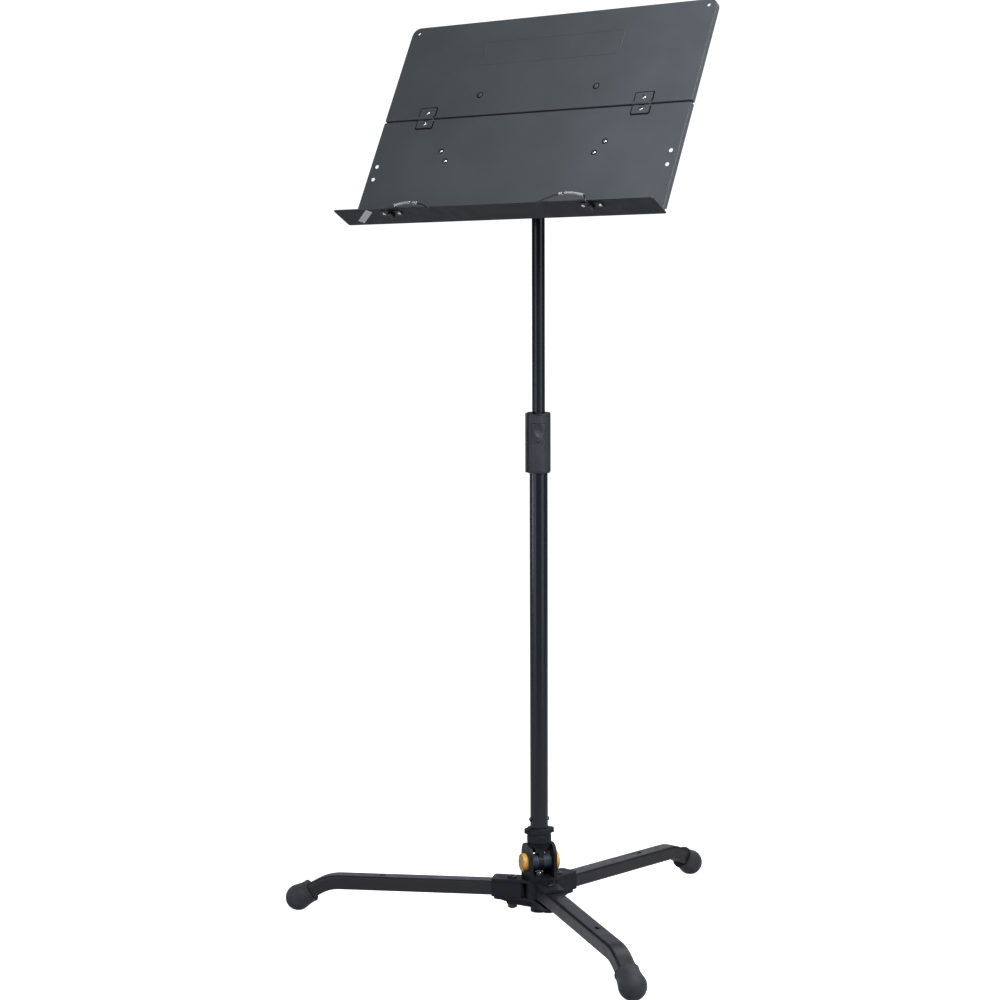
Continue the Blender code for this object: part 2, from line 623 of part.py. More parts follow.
def make_clutch(clutch, materials):
    """A moulded sleeve on top of the outer tube, with a window for the squeeze lever at +X."""
    low = CLUTCH[0] - FOLD_Z
    high = CLUTCH[1] - FOLD_Z
    shelf = [height - FOLD_Z for height in CLUTCH_SHELF]
    bore = INNER_TUBE_RADIUS + WINDOW_GAP
    mouth = CLUTCH_RADIUS - 0.0018
    profile = [(OUTER_TUBE_RADIUS + GAP, low), (CLUTCH_RADIUS - 0.0015, low), (CLUTCH_RADIUS, low + 0.0030)]
    profile += [(CLUTCH_RADIUS, high - 0.0020), (CLUTCH_RADIUS - 0.0008, high), (mouth, high)]
    profile += [(mouth, BUSH[1] - FOLD_Z), (CLUTCH_CAVITY, BUSH[1] - FOLD_Z), (CLUTCH_CAVITY, shelf[1])]
    profile += [(bore, shelf[1]), (bore, shelf[0]), (OUTER_TUBE_RADIUS + GAP, shelf[0])]
    body = piece("clutch_housing", turned(profile, 24), materials["plastic"], clutch)
    depth = (0.0085, 0.03)
    pad_half = LEVER_HALF_WIDTH + WINDOW_GAP
    neck_half = LEVER_NECK_HALF + WINDOW_GAP
    neck_top = LEVER_NECK_TOP - FOLD_Z - 0.0010
    cut(body, block(depth, (-pad_half, pad_half), (neck_top, LEVER[1] + WINDOW_GAP - FOLD_Z)))
    cut(body, block(depth, (-neck_half, neck_half), (LEVER[0] - WINDOW_GAP - FOLD_Z, neck_top + 0.001)))
    pin_place = shifted(LEVER_PIN_X, 0, LEVER_PIN_Z - FOLD_Z) @ ALONG_Y
    cut(body, tube_hole(LEVER_PIN_RADIUS + GAP, 12), pin_place)
    pin_half = 0.0074
    pin = [(0, -pin_half), (LEVER_PIN_RADIUS, -pin_half), (LEVER_PIN_RADIUS, pin_half), (0, pin_half)]
    piece("lever_pin", turned(pin, 12), materials["steel"], clutch, pin_place)
    low = shelf[1] + GAP + SPRING_WIRE
    high = LOCK_PLATE_Z - GAP - SPRING_WIRE - FOLD_Z
    coil = coil_points(CLUTCH_SPRING_RADIUS, low, high, 4)
    wire("clutch_spring", coil, SPRING_WIRE, materials["steel"], clutch, 0)


def make_lever(lever, materials):
    """The squeeze lever, about its pin: a curved pad, a neck, and a tongue over the lock plate's front."""
    neck_top = LEVER_NECK_TOP - LEVER_PIN_Z
    spans = (
        (LEVER_HALF_WIDTH, LEVER_INNER, neck_top - 0.0004, LEVER[1] - LEVER_PIN_Z),
        (LEVER_NECK_HALF, LEVER_TONGUE - 0.0001, LEVER[0] - LEVER_PIN_Z, neck_top),
    )
    body = None
    for half, inner_x, low, high in spans:
        reach = math.degrees(math.asin(half / (CLUTCH_RADIUS + 0.0007)))
        outline = arc(-LEVER_PIN_X, 0, CLUTCH_RADIUS + 0.0007, -reach, reach, 6)
        outline += [(inner_x - LEVER_PIN_X, half), (inner_x - LEVER_PIN_X, -half)]
        if body:
            add(body, prism(outline, low, high))
        else:
            body = piece("clutch_lever", prism(outline, low, high), materials["plastic"], lever)
    cut(body, tube_hole(LEVER_PIN_RADIUS + GAP, 12), ALONG_Y)
    under = LOCK_PLATE_Z + LOCK_PLATE_THICKNESS + 0.0006 - LEVER_PIN_Z
    add(body, block((LEVER_TONGUE - LEVER_PIN_X, 0.001), (-0.0035, 0.0035), (under, under + 0.0020)))


def make_lock_plate(plate, materials):
    """A plate round the inner tube that grips it when it tilts. Its frame is on its rear edge."""
    front = LOCK_PLATE_FRONT + LOCK_PLATE_HINGE
    outline = [(min(x + LOCK_PLATE_HINGE, front), y) for x, y in circle(LOCK_PLATE_HINGE + 0.0001, 24)]
    body = piece("lock_plate", prism(outline, 0, LOCK_PLATE_THICKNESS), materials["steel"], plate)
    cut(body, tube_hole(INNER_TUBE_RADIUS + 0.0005, 24), shifted(LOCK_PLATE_HINGE))


def make_inner_mast(bush, slide, materials):
    low, high = (height - FOLD_Z for height in BUSH)
    bore = INNER_TUBE_RADIUS + GAP
    body_radius = CLUTCH_CAVITY - GAP
    flange = CLUTCH_RADIUS - 0.0018 - GAP
    profile = [(bore, low), (body_radius, low), (body_radius, high + GAP), (flange, high + GAP)]
    profile += [(flange, high + 0.0020), (bore, high + 0.0020)]
    piece("swivel_bush", turned(profile, 24), materials["plastic"], bush)
    low, high = (height - FOLD_Z for height in INNER_TUBE)
    inner = tube(INNER_TUBE_RADIUS, INNER_TUBE_RADIUS - TUBE_WALL, low, high, 24)
    piece("inner_tube", inner, materials["tube"], slide)
    low, high = (height - FOLD_Z for height in FOOT_BUSH)
    outside = SPIGOT_RADIUS
    cup = INNER_TUBE_RADIUS + GAP
    seat = INNER_TUBE[0] - GAP - FOLD_Z
    profile = [(0, low), (outside - 0.001, low), (outside, low + 0.001), (outside, high), (cup, high)]
    profile += [(cup, seat), (0, seat)]
    piece("inner_tube_bush", turned(profile, 24), materials["plastic"], slide)


def make_tilt_head(slide, materials):
    """The casting on top of the inner tube, ending in the tongue that the desk tilts on."""
    tilt = TILT_Z - FOLD_Z
    top = INNER_TUBE[1] + GAP - FOLD_Z
    cup = INNER_TUBE_RADIUS + GAP
    profile = [(0, tilt - 0.060), (0.0125, tilt - 0.060), (0.0125, tilt - 0.022), (0.0105, tilt - 0.018)]
    body = piece("tilt_head", turned(profile + [(0, tilt - 0.018)]), materials["casting"], slide)
    cut(body, turned([(0, tilt - 0.070), (cup, tilt - 0.070), (cup, top), (0, top)]))
    add(body, block((-0.0064, 0.0064), (-0.0086, 0.0086), (tilt - 0.0205, tilt - 0.0050)), x_across())
    knuckle = turned([(0, -0.0070), (0.0125, -0.0070), (0.0125, 0.0070), (0, 0.0070)])
    add(body, knuckle, x_across() @ shifted(z=tilt) @ ALONG_X)
    cut(body, tube_hole(TILT_BORE), x_across() @ shifted(z=tilt) @ ALONG_X)


def x_across():
    """From the mast's frame, whose +X is the way it folds, to one whose +X is the world's."""
    return Matrix.Rotation(math.radians(-HEADINGS["front"]), 4, "Z")


# Desk


def panel_outline(low, high, corner):
    """Outline of a panel in desk x and height, with round top corners where corner is over 0."""
    half = DESK_WIDTH / 2
    outline = [(-half, low), (half, low)]
    if corner:
        outline += arc(half - corner, high - corner, corner, 0, 90, 4)
        outline += arc(corner - half, high - corner, corner, 90, 180, 4)
    else:
        outline += [(half, high), (-half, high)]
    return outline


def inset_outline(low, high, corner, by):
    half = DESK_WIDTH / 2 - by
    outline = [(-half, low + by), (half, low + by)]
    if corner:
        outline += arc(half - corner + by, high - corner, corner - by, 0, 90, 4)
        outline += arc(corner - by - half, high - corner, corner - by, 90, 180, 4)
    else:
        outline += [(half, high - by), (-half, high - by)]
    return outline


# Stands an outline of (x, height) up in the desk's frame: height above the bend becomes z, and depth is y.
STAND = Matrix(((1, 0, 0, 0), (0, 0, 1, 0), (0, 1, 0, BEND), (0, 0, 0, 1)))


def through(x, height):
    """Where a cutter about Z passes through the panel at x and this height above the bend."""
    return shifted(x, 0, BEND + height) @ ALONG_Y


def make_lower_panel(desk, materials):
    """A pressed sheet with side and top rims turned back, and the tray turned forward along the bend."""
    outline = panel_outline(-SHEET, LOWER_HEIGHT, 0)
    body = piece("lower_panel", prism(outline, FACE, FACE + RIM), materials["desk"], desk, STAND)
    lift = STAND.inverted()
    hollow = inset_outline(-SHEET, LOWER_HEIGHT, 0, SHEET)
    hollow[0] = (hollow[0][0], -0.05)
    hollow[1] = (hollow[1][0], -0.05)
    cut(body, prism(hollow, FACE + SHEET, FACE + 0.05))
    tray_half = TRAY_WIDTH / 2
    tray = block((-tray_half, tray_half), (FACE - TRAY_DEPTH, FACE + SHEET), (BEND - SHEET, BEND))
    add(body, tray, lift)
    notch = 0.0060
    for side in (-1, 1):
        x_range = sorted((side * (DESK_WIDTH / 2 + 0.001), side * (DESK_WIDTH / 2 - 0.0040)))
        low = BEND + LOWER_HEIGHT - notch
        cut(body, block(x_range, (FACE + SHEET + 0.0005, FACE + 0.02), (low, low + 0.02)), lift)
        for x, height in EDGE_HOLES:
            cut(body, tube_hole(EDGE_HOLE_RADIUS, 12), lift @ through(side * x, height))
        for x, height in BRACKET_RIVETS:
            cut(body, tube_hole(RIVET_RADIUS + GAP, 12), lift @ through(side * x, height))
        hinge_rivet = through(side * HINGE_X, HINGE_AXIS[1] + HINGE_RIVETS["lower"])
        cut(body, tube_hole(HINGE_RIVET_RADIUS + GAP, 12), lift @ hinge_rivet)


def make_upper_panel(upper, materials):
    """The folding panel: a shallow pan with round top corners. The frame is on the hinge axis."""
    to_desk = shifted(0, -HINGE_AXIS[0], -BEND - HINGE_AXIS[1])
    outline = panel_outline(UPPER_START, UPPER_END, DESK_CORNER)
    body = piece("upper_panel", prism(outline, FACE, FACE + RIM), materials["desk"], upper, to_desk @ STAND)
    lift = STAND.inverted()
    hollow = inset_outline(UPPER_START, UPPER_END, DESK_CORNER, SHEET)
    cut(body, prism(hollow, FACE + SHEET, FACE + 0.05))
    for side in (-1, 1):
        cut(body, tube_hole(CORNER_HOLE_RADIUS, 12), lift @ through(side * CORNER_HOLE[0], CORNER_HOLE[1]))
        cut(body, tube_hole(RIVET_RADIUS + GAP, 12), lift @ through(side * RAIL_RIVET[0], RAIL_RIVET[1]))
        hinge_rivet = through(side * HINGE_X, HINGE_AXIS[1] + HINGE_RIVETS["upper"])
        cut(body, tube_hole(HINGE_RIVET_RADIUS + GAP, 12), lift @ hinge_rivet)
    back = FACE + SHEET + GAP
    low = BEND + RAIL_RIVET[1] - 0.0090
    high = BEND + RAIL_RIVET[1] + 0.0090
    rail = block((-0.1150, 0.1150), (back, back + 0.0060), (low, high))
    made = piece("upper_rail", rail, materials["dark_steel"], upper, to_desk)
    cut(made, block((-0.2, 0.2), (back + SHEET, back + 0.02), (low + SHEET, high - SHEET)))
    for side in (-1, 1):
        cut(made, tube_hole(RIVET_RADIUS + GAP, 12), through(side * RAIL_RIVET[0], RAIL_RIVET[1]))
    for name, side in (("left", -1), ("right", 1)):
        place = to_desk @ rivet_place(side * RAIL_RIVET[0], RAIL_RIVET[1])
        piece(f"rail_rivet_{name}", rivet_shape(0.0048), materials["steel"], upper, place)


def rivet_place(x, height):
    """A rivet's frame on the panel's face: +Z towards the player."""
    return shifted(x, FACE - GAP, BEND + height) @ Matrix.Rotation(math.radians(90), 4, "X")


def rivet_shape(length):
    profile = [(0, -length), (RIVET_RADIUS, -length), (RIVET_RADIUS, 0), (0.0034, 0), (0.0034, 0.0004)]
    return turned(profile + [(0.0024, 0.0011), (0, 0.0013)], 12)


def make_bracket(desk, materials):
    """The rear bracket: a plate riveted to the lower panel, with two ears that hold the tilt bolt."""
    back = FACE + SHEET + GAP
    right_half = [(0.045, 0.066), (0.118, 0.084), (0.145, 0.090)]
    right_half += [(0.143, 0.122), (0.125, 0.124), (0.040, 0.146)]
    left_half = [(-x, height) for x, height in reversed(right_half)]
    plate = prism(right_half + left_half, back, back + 0.0022)
    body = piece("rear_bracket", plate, materials["dark_steel"], desk, STAND)
    lift = STAND.inverted()
    for side in (-1, 1):
        for x, height in BRACKET_RIVETS:
            cut(body, tube_hole(RIVET_RADIUS + GAP, 12), lift @ through(side * x, height))
    ear = [(back + 0.001, -0.030), (-0.004, -0.0130)] + arc(0, 0, 0.0135, -90, 90, 6)
    ear += [(-0.004, 0.0130), (back + 0.001, 0.024)]
    across = Matrix(((0, 0, 1, 0), (1, 0, 0, 0), (0, 1, 0, 0), (0, 0, 0, 1)))
    for side in (-1, 1):
        low, high = sorted((side * 0.0074, side * 0.0100))
        add(body, prism(ear, low, high), lift @ across)
    cut(body, tube_hole(TILT_BORE), lift @ ALONG_X)
    for name, side in (("left", -1), ("right", 1)):
        for row, (x, height) in zip(("upper", "lower"), BRACKET_RIVETS):
            place = rivet_place(side * x, height)
            piece(f"bracket_rivet_{name}_{row}", rivet_shape(0.0050), materials["steel"], desk, place)
    bolt = screw_shape(0.0062, 0.0036, 0.0030, 0.0270)
    piece("tilt_bolt", bolt, materials["dark_steel"], desk, shifted(TILT_NUT[0]) @ ALONG_X)
    nut = piece("tilt_nut", hexagon(0.0100, *TILT_NUT), materials["steel"], desk, ALONG_X.inverted())
    cut(nut, tube_hole(TILT_BORE))


def make_hinges(desk, upper, materials):
    """Each hinge has a lower leaf with two knuckles, an upper leaf with the middle one, and a pin."""
    knuckle = 0.0022
    leaf_back = FACE - GAP - HINGE_AXIS[0]
    leaf_front = leaf_back - SHEET
    middle = 0.0042
    hole = 0.0014
    for name, side in (("left", -1), ("right", 1)):
        x = side * HINGE_X
        on_desk = shifted(x, HINGE_AXIS[0], BEND + HINGE_AXIS[1])
        on_upper = shifted(x)
        specs = (
            ("lower", desk, on_desk, -0.0150, -0.0034, (middle + GAP, HINGE_HALF)),
            ("upper", upper, on_upper, 0.0034, 0.0170, None),
        )
        for half, parent, place, low, high, outer in specs:
            rivet = HINGE_RIVETS[half]
            plate = block((-HINGE_HALF, HINGE_HALF), (leaf_front, leaf_back), (low, high))
            leaf = piece(f"hinge_{name}_{half}_leaf", plate, materials["leg"], parent, place)
            spans = [(-middle, middle)]
            if outer:
                spans = [(-outer[1], -outer[0]), outer]
            for span in spans:
                stem = sorted((math.copysign(0.0008, rivet), rivet * 0.5))
                add(leaf, block(span, (leaf_front + 0.0001, leaf_back - 0.0001), stem))
                barrel = turned([(0, span[0]), (knuckle, span[0]), (knuckle, span[1]), (0, span[1])], 12)
                add(leaf, barrel, ALONG_X)
            shank = HINGE_RIVET_RADIUS
            rivet_body = [(0, -0.0040), (shank, -0.0040), (shank, 0.0006), (0.0030, 0.0006)]
            rivet_body += [(0.0028, 0.0012), (0, 0.0014)]
            forward = Matrix.Rotation(math.radians(90), 4, "X")
            add(leaf, turned(rivet_body, 10), shifted(0, leaf_front + 0.0006, rivet) @ forward)
            cut(leaf, tube_hole(hole, 12), ALONG_X)
        pin = [(0, -HINGE_HALF), (0.0011, -HINGE_HALF), (0.0011, HINGE_HALF), (0, HINGE_HALF)]
        piece(f"hinge_{name}_pin", turned(pin, 12), materials["steel"], desk, on_desk @ ALONG_X)


def retainer_axis():
    """Desk-frame y of the pivot's front, and z of its axis."""
    return FACE - TRAY_DEPTH + 0.0045, BEND - SHEET - GAP - 0.0038


def make_retainer(name, side, desk, arm, materials):
    """A clip under the tray, and the bent wire arm that pivots in it and lies along the tray's front edge."""
    under = BEND - SHEET - GAP
    front = FACE - TRAY_DEPTH
    clip_x = side * RETAINER_X
    half = 0.0170
    strap = block((clip_x - half, clip_x + half), (front + 0.0050, front + 0.0175), (under - 0.0012, under))
    body = piece(f"retainer_clip_{name}", strap, materials["dark_steel"], desk)
    barrel_depth = (front + 0.0052, front + 0.0173)
    add(body, block((clip_x - 0.0042, clip_x + 0.0042), barrel_depth, (under - 0.0070, under - 0.0005)))
    cut(body, tube_hole(RETAINER_WIRE + GAP, 12), shifted(clip_x, 0, retainer_axis()[1]) @ ALONG_Y)
    ahead = -0.0097
    points = [(0, 0.0080, 0), (0, -0.0020, 0), (0, ahead + 0.0030, 0)]
    points += [(-side * 0.0008, ahead + 0.0007, 0.0012)]
    steps = 10
    start = 0.0035
    for step in range(steps + 1):
        along = start + (RETAINER_LENGTH - start) * step / steps
        rise = RETAINER_RISE - RETAINER_CURVE * (along - RETAINER_CREST) ** 2
        points.append((-side * along, ahead, rise))
    wire(f"retainer_arm_{name}", points, RETAINER_WIRE, materials["steel"], arm)


def build():
    clear_scene()
    materials = make_materials()
    base = pivot("base", None, Matrix.Translation(mast_place()))
    make_hub(base, materials)
    for name, heading in HEADINGS.items():
        turn = Matrix.Rotation(math.radians(heading), 4, "Z")
        if name == "front":
            make_leg(name, pivot("front_leg_mount", base, turn), Matrix(), materials)
            continue
        swivel = pivot(f"{name}_leg_swivel", base, turn @ shifted(LEG_PIVOT))
        make_leg(name, swivel, shifted(-LEG_PIVOT), materials)
        washer_low = LOWER_PLATE_TOP + GAP
        washer = tube(PAD_RADIUS, PIN_RADIUS + GAP, washer_low, washer_low + WASHER)
        piece(f"{name}_leg_washer", washer, materials["washer"], swivel)

    across = Matrix.Rotation(math.radians(HEADINGS["front"]), 4, "Z")
    fold_place = shifted(z=FOLD_Z) @ across
    fork = pivot("fork", base, fold_place)
    make_fork(fork, materials)
    for name, side in (("left", -1), ("right", 1)):
        outward = Matrix.Rotation(math.radians(-90 * side), 4, "X")
        make_button(name, side, pivot(f"lock_button_{name}_slide", fork, outward), materials)

    mast = pivot("mast_fold", base, fold_place)
    make_knuckle(mast, materials)
    make_outer_mast(mast, materials)
    clutch = pivot("clutch", mast, Matrix.Rotation(math.radians(CLUTCH_TURN), 4, "Z"))
    make_clutch(clutch, materials)
    make_lever(pivot("clutch_lever_hinge", clutch, shifted(LEVER_PIN_X, 0, LEVER_PIN_Z - FOLD_Z)), materials)
    plate_place = shifted(-LOCK_PLATE_HINGE, 0, LOCK_PLATE_Z - FOLD_Z)
    make_lock_plate(pivot("lock_plate_hinge", clutch, plate_place), materials)
    bush = pivot("mast_swivel", mast)
    slide = pivot("height_slide", bush)
    make_inner_mast(bush, slide, materials)
    make_tilt_head(slide, materials)

    lean = x_across() @ shifted(z=TILT_Z - FOLD_Z) @ Matrix.Rotation(math.radians(-TILT), 4, "X")
    desk = pivot("desk_tilt", slide, lean)
    make_lower_panel(desk, materials)
    make_bracket(desk, materials)
    upper = pivot("upper_panel_hinge", desk, shifted(0, HINGE_AXIS[0], BEND + HINGE_AXIS[1]))
    make_upper_panel(upper, materials)
    make_hinges(desk, upper, materials)
    for name, side in (("left", -1), ("right", 1)):
        depth, height = retainer_axis()
        arm = pivot(f"retainer_{name}_hinge", desk, shifted(side * RETAINER_X, depth, height))
        make_retainer(name, side, desk, arm, materials)


build()
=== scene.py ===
import json
import math

import bmesh
import bpy
from mathutils import Matrix, Vector


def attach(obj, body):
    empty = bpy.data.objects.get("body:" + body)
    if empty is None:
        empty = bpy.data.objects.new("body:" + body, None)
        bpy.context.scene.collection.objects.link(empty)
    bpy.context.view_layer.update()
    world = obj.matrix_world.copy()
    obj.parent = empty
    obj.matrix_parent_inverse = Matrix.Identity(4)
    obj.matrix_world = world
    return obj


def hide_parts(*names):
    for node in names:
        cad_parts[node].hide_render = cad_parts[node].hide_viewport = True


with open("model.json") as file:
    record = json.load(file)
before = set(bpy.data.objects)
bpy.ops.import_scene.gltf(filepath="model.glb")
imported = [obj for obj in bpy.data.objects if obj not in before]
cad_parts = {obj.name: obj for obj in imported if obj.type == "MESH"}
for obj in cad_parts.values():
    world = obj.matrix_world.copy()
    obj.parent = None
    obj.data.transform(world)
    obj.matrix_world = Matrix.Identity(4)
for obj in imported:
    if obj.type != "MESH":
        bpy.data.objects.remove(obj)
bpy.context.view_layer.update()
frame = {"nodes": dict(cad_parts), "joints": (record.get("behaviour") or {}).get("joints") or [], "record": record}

# Looks of a folding music stand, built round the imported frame. Metres, +Z up, the desk faces -Y.

JOINTS = {joint["name"]: joint for joint in frame["joints"]}
MOUNTS = {mount["name"]: mount for mount in frame["record"]["mounts"]}

# Frames that pieces are drawn in, all but DESK with their origin on the floor on the mast's axis.
# UPRIGHT: the world's axes. HUB: +X the way the mast folds, +Y along the fold pin.
# CLUTCH_PLACE: +X towards the squeeze lever. LEGS: +X out along each leg.
# DESK: origin on the tilt axis, +Z up the panel, -Y towards the player.


def axes_at(origin, x, y, z):
    return Matrix.Translation(origin) @ Matrix((x, y, z)).transposed().to_4x4()


def joint_at(name):
    return Vector(JOINTS[name]["pos_m"])


def facing(mount):
    return Vector(MOUNTS[mount]["axis"]).normalized()


UP = Vector((0, 0, 1))
FOLD_AT = joint_at("mast_fold")
FOLD_Z = FOLD_AT.z
FLOOR_AT = Vector((FOLD_AT.x, FOLD_AT.y, 0))
PIN_AXIS = Vector(JOINTS["mast_fold"]["axis"]).normalized()
HUB = axes_at(FLOOR_AT, PIN_AXIS.cross(UP), PIN_AXIS, UP)
INTO_HUB = HUB.inverted()
LEVER_AT = joint_at("clutch_lever_squeeze")
LEVER_SIDE = ((LEVER_AT - FLOOR_AT) * Vector((1, 1, 0))).normalized()
CLUTCH_PLACE = axes_at(FLOOR_AT, LEVER_SIDE, UP.cross(LEVER_SIDE), UP)
DESK = axes_at(joint_at("desk_tilt"), Vector((1, 0, 0)), -facing("desk_face"), facing("tray_top"))
INTO_DESK = DESK.inverted()
UPRIGHT = axes_at(FLOOR_AT, Vector((1, 0, 0)), Vector((0, 1, 0)), UP)


def leg_frame(name):
    outward = (Vector(MOUNTS[f"{name}_foot_sole"]["pos_m"]) - FLOOR_AT).normalized()
    return axes_at(FLOOR_AT, outward, UP.cross(outward), UP)


LEGS = {name: leg_frame(name) for name in ("left", "rear", "front")}
LEG_BODY = {"left": "left_leg", "rear": "rear_leg", "front": "base"}
SIDES = (("left", -1), ("right", 1))


def shifted(x=0.0, y=0.0, z=0.0):
    return Matrix.Translation((x, y, z))


def rotation(degrees, axis):
    return Matrix.Rotation(math.radians(degrees), 4, axis)


ALONG_X = rotation(90, "Y")  # turns +Z to +X
ALONG_Y = rotation(-90, "X")  # turns +Z to +Y
TOWARDS_PLAYER = rotation(90, "X")  # turns +Z to -Y
DOWNWARD = rotation(180, "X")
OUTWARD = Matrix(((0, 0, 1, 0), (1, 0, 0, 0), (0, 1, 0, 0), (0, 0, 0, 1)))  # X to Y, Y to Z, Z to X
SWAPPED = Matrix(((1, 0, 0, 0), (0, 0, 1, 0), (0, 1, 0, 0), (0, 0, 0, 1)))  # Y to Z, Z to Y


def sideways(side):
    """Turns +Z to +Y on side 1, and to -Y on side -1."""
    return rotation(-90 * side, "X")


def extent(node, place):
    """Lowest and highest corners of a CAD node, in the frame of place."""
    into = place.inverted()
    points = [into @ vertex.co for vertex in frame["nodes"][node].data.vertices]
    low = Vector([min(point[axis] for point in points) for axis in range(3)])
    high = Vector([max(point[axis] for point in points) for axis in range(3)])
    return low, high


def heights(node, place=HUB):
    """Where a CAD node starts and ends along the frame's Z."""
    return [corner.z for corner in extent(node, place)]


def middle(node, place):
    low, high = extent(node, place)
    return (low + high) / 2


GAP = 0.0003  # between solids that don't move together, and round most pins

# Legs and feet
LEG_WIDTH = 0.0245
LEG_HEIGHT = 0.0205
LEG_CORNER = 0.0035
LEG_WALL = 0.0018
LEG_START = 0.023
LEG_LEVEL_END = 0.075
LEG_Z = extent("front_leg", LEGS["front"])[1].z - LEG_HEIGHT / 2
LEG_BEND_AT = 0.309
LEG_BEND_Z = 0.0448
LEG_BEND_RADIUS = 0.065
LEG_PIVOT = 0.039
LEG_SLOT_AT = 0.230
LEG_END_DEPTH = 0.004
LEG_CHEEK = 0.0015
LEG_SWEEP = 0.0216  # room for a leg's inner end to turn in
FOOT_CENTRE = (Vector(MOUNTS["front_foot_sole"]["pos_m"]) - FLOOR_AT).length
FOOT_RADIUS = 0.0187
FOOT_Z = FOOT_RADIUS - 0.0012
FOOT_BACK = 0.024
FOOT_NECK = FOOT_RADIUS * 0.87

# Hub
UPPER_PLATE = heights("hub_top_plate")
UPPER_ARM_HALF = 0.0148
LOWER_ARM_HALF = 0.0130
LOWER_PLATE_TOP = 0.0376
LOWER_PLATE_THICKNESS = 0.0036
ARM_LENGTH = 0.067
ARM_FILLET = 0.030
CORE_RADIUS = 0.0200
BOSS_BOTTOM = heights("hub_casting")[0]
BOSS_RADIUS = 0.0125
BOSS_RECESS = 0.0083
CENTRE_HEAD_TOP = 0.0242
PIN_RADIUS = 0.0040
PIN_BORE = PIN_RADIUS + GAP
NUT_BORE = PIN_RADIUS + 0.0002
FORK_FLOOR = 0.0042
FORK_WALL = 0.0035
FORK_WALL_TOP = FOLD_Z - 0.0100
EAR_INNER = 0.0155
EAR_OUTER = 0.0200
EAR_HALF_DEPTH = 0.0200
EAR_CORNER = 0.0165
TONGUE_HALF = 0.0037
DRUM_RADIUS = 0.0110
BUTTON_RADIUS = 0.0130
BUTTON_SEAT = 0.0023
BUTTON_ROOF = 0.0020
BUTTON_FACE = extent("lock_button_right", HUB)[1].y
BUTTON_TRAVEL = 0.0020
SPRING_WIRE = 0.0005
SPRING_END = 0.0008  # from a seat to the middle of the wire

# Mast
COLLAR = (0.1295, 0.1380)
SOCKET_RADIUS = 0.0173
LUG_REACH = 0.0216
SCREW_Z = middle("collar_screw_left", HUB).z
SCREW_BORE = 0.0019
OUTER_TUBE = extent("outer_tube", UPRIGHT)
OUTER_RADIUS = OUTER_TUBE[1].x
INNER_TUBE = heights("inner_tube", UPRIGHT)
INNER_RADIUS = 0.0090
TUBE_WALL = 0.0014
CLUTCH = heights("clutch_housing", CLUTCH_PLACE)
CLUTCH_RADIUS = 0.0168
CLUTCH_WALL = 0.0012
CLUTCH_SHELF = (0.668, 0.671)
CLUTCH_CAVITY = 0.0139
FACET = 36  # degrees
LEVER = heights("clutch_lever", CLUTCH_PLACE)
LEVER_PIN = CLUTCH_PLACE.inverted() @ LEVER_AT
PAD_LOW = 0.6852
PAD_HALF = 0.0095
PAD_SHOULDER = 0.6999
BUSH = heights("swivel_bush")
TILT_Z = DESK.translation.z
TILT_BORE = 0.0033

# Desk, in the DESK frame
UPPER_LOW, UPPER_HIGH = extent("upper_panel", DESK)
LOWER_LOW, LOWER_HIGH = extent("lower_panel", DESK)
FACE = UPPER_LOW.y
RIM = UPPER_HIGH.y - FACE
SHEET = 0.0012
BEND = LOWER_LOW.z + SHEET
DESK_HALF = UPPER_HIGH.x
TRAY_HALF = LOWER_HIGH.x
TRAY_FRONT = LOWER_LOW.y
DESK_CORNER = 0.0130
SHEET_BEND = 0.0011
SEAM = 0.0010  # taken off each panel along the fold, where the bent edges fall away
HINGE_HALF = 0.0130
HINGE_BARREL = 0.0022
HINGE_MIDDLE = 0.0042
EDGE_HOLES = ((0.2385, 0.0925), (0.2385, 0.0717))
CORNER_HOLE = (0.2376, 0.3160)
RAIL_RIVET = (0.0950, 0.2010)
BRACKET_RIVETS = ((0.1333, 0.1125), (0.1212, 0.0960))
RIVET_BORE = 0.0024
WIRE_BORE = 0.0014
PRESSED_FRAME_AT = (0.0035, 0.2705)
STAND = shifted(z=BEND) @ SWAPPED  # (x, height above the bend, depth) to the DESK frame


# Outlines and solids


def arc(centre_x, centre_y, radius, start, end, steps):
    """Points along an arc, both ends included, for angles in degrees."""
    points = []
    for step in range(steps + 1):
        angle = math.radians(start + (end - start) * step / steps)
        points.append((centre_x + radius * math.cos(angle), centre_y + radius * math.sin(angle)))
    return points


def circle(radius, steps=64):
    return arc(0, 0, radius, 0, 360 * (steps - 1) / steps, steps - 1)


def rounded_rectangle(width, height, radius, steps=6):
    outline = []
    for turn, (sign_x, sign_y) in enumerate(((1, 1), (-1, 1), (-1, -1), (1, -1))):
        across = sign_x * (width / 2 - radius)
        up = sign_y * (height / 2 - radius)
        outline += arc(across, up, radius, 90 * turn, 90 * turn + 90, steps)
    return outline


def three_arms(half_width, length, corner):
    """Outline of a plate with one arm along each leg, its corners rounded, with a fillet in each valley."""
    headings = sorted(math.degrees(math.atan2(place[1][0], place[0][0])) for place in LEGS.values())
    outline = []
    for heading in headings:
        valley = math.radians(heading - 60)
        reach = (half_width + ARM_FILLET) / math.sin(math.radians(60))
        centre = (reach * math.cos(valley), reach * math.sin(valley))
        outline += arc(*centre, ARM_FILLET, heading + 150, heading + 90, 16)
        turn = Matrix.Rotation(math.radians(heading), 2)
        for hand in (-1, 1):
            tip = turn @ Vector((length - corner, hand * (half_width - corner)))
            outline += arc(*tip, corner, heading + 45 * (hand - 1), heading + 45 * (hand + 1), 12)
    return outline


def dome(radius, base, height):
    """The side of a dome in (radius, z), from its rim nearly to its top."""
    angles = [math.radians(15 * step) for step in range(6)]
    return [(radius * math.cos(angle), base + height * math.sin(angle)) for angle in angles]


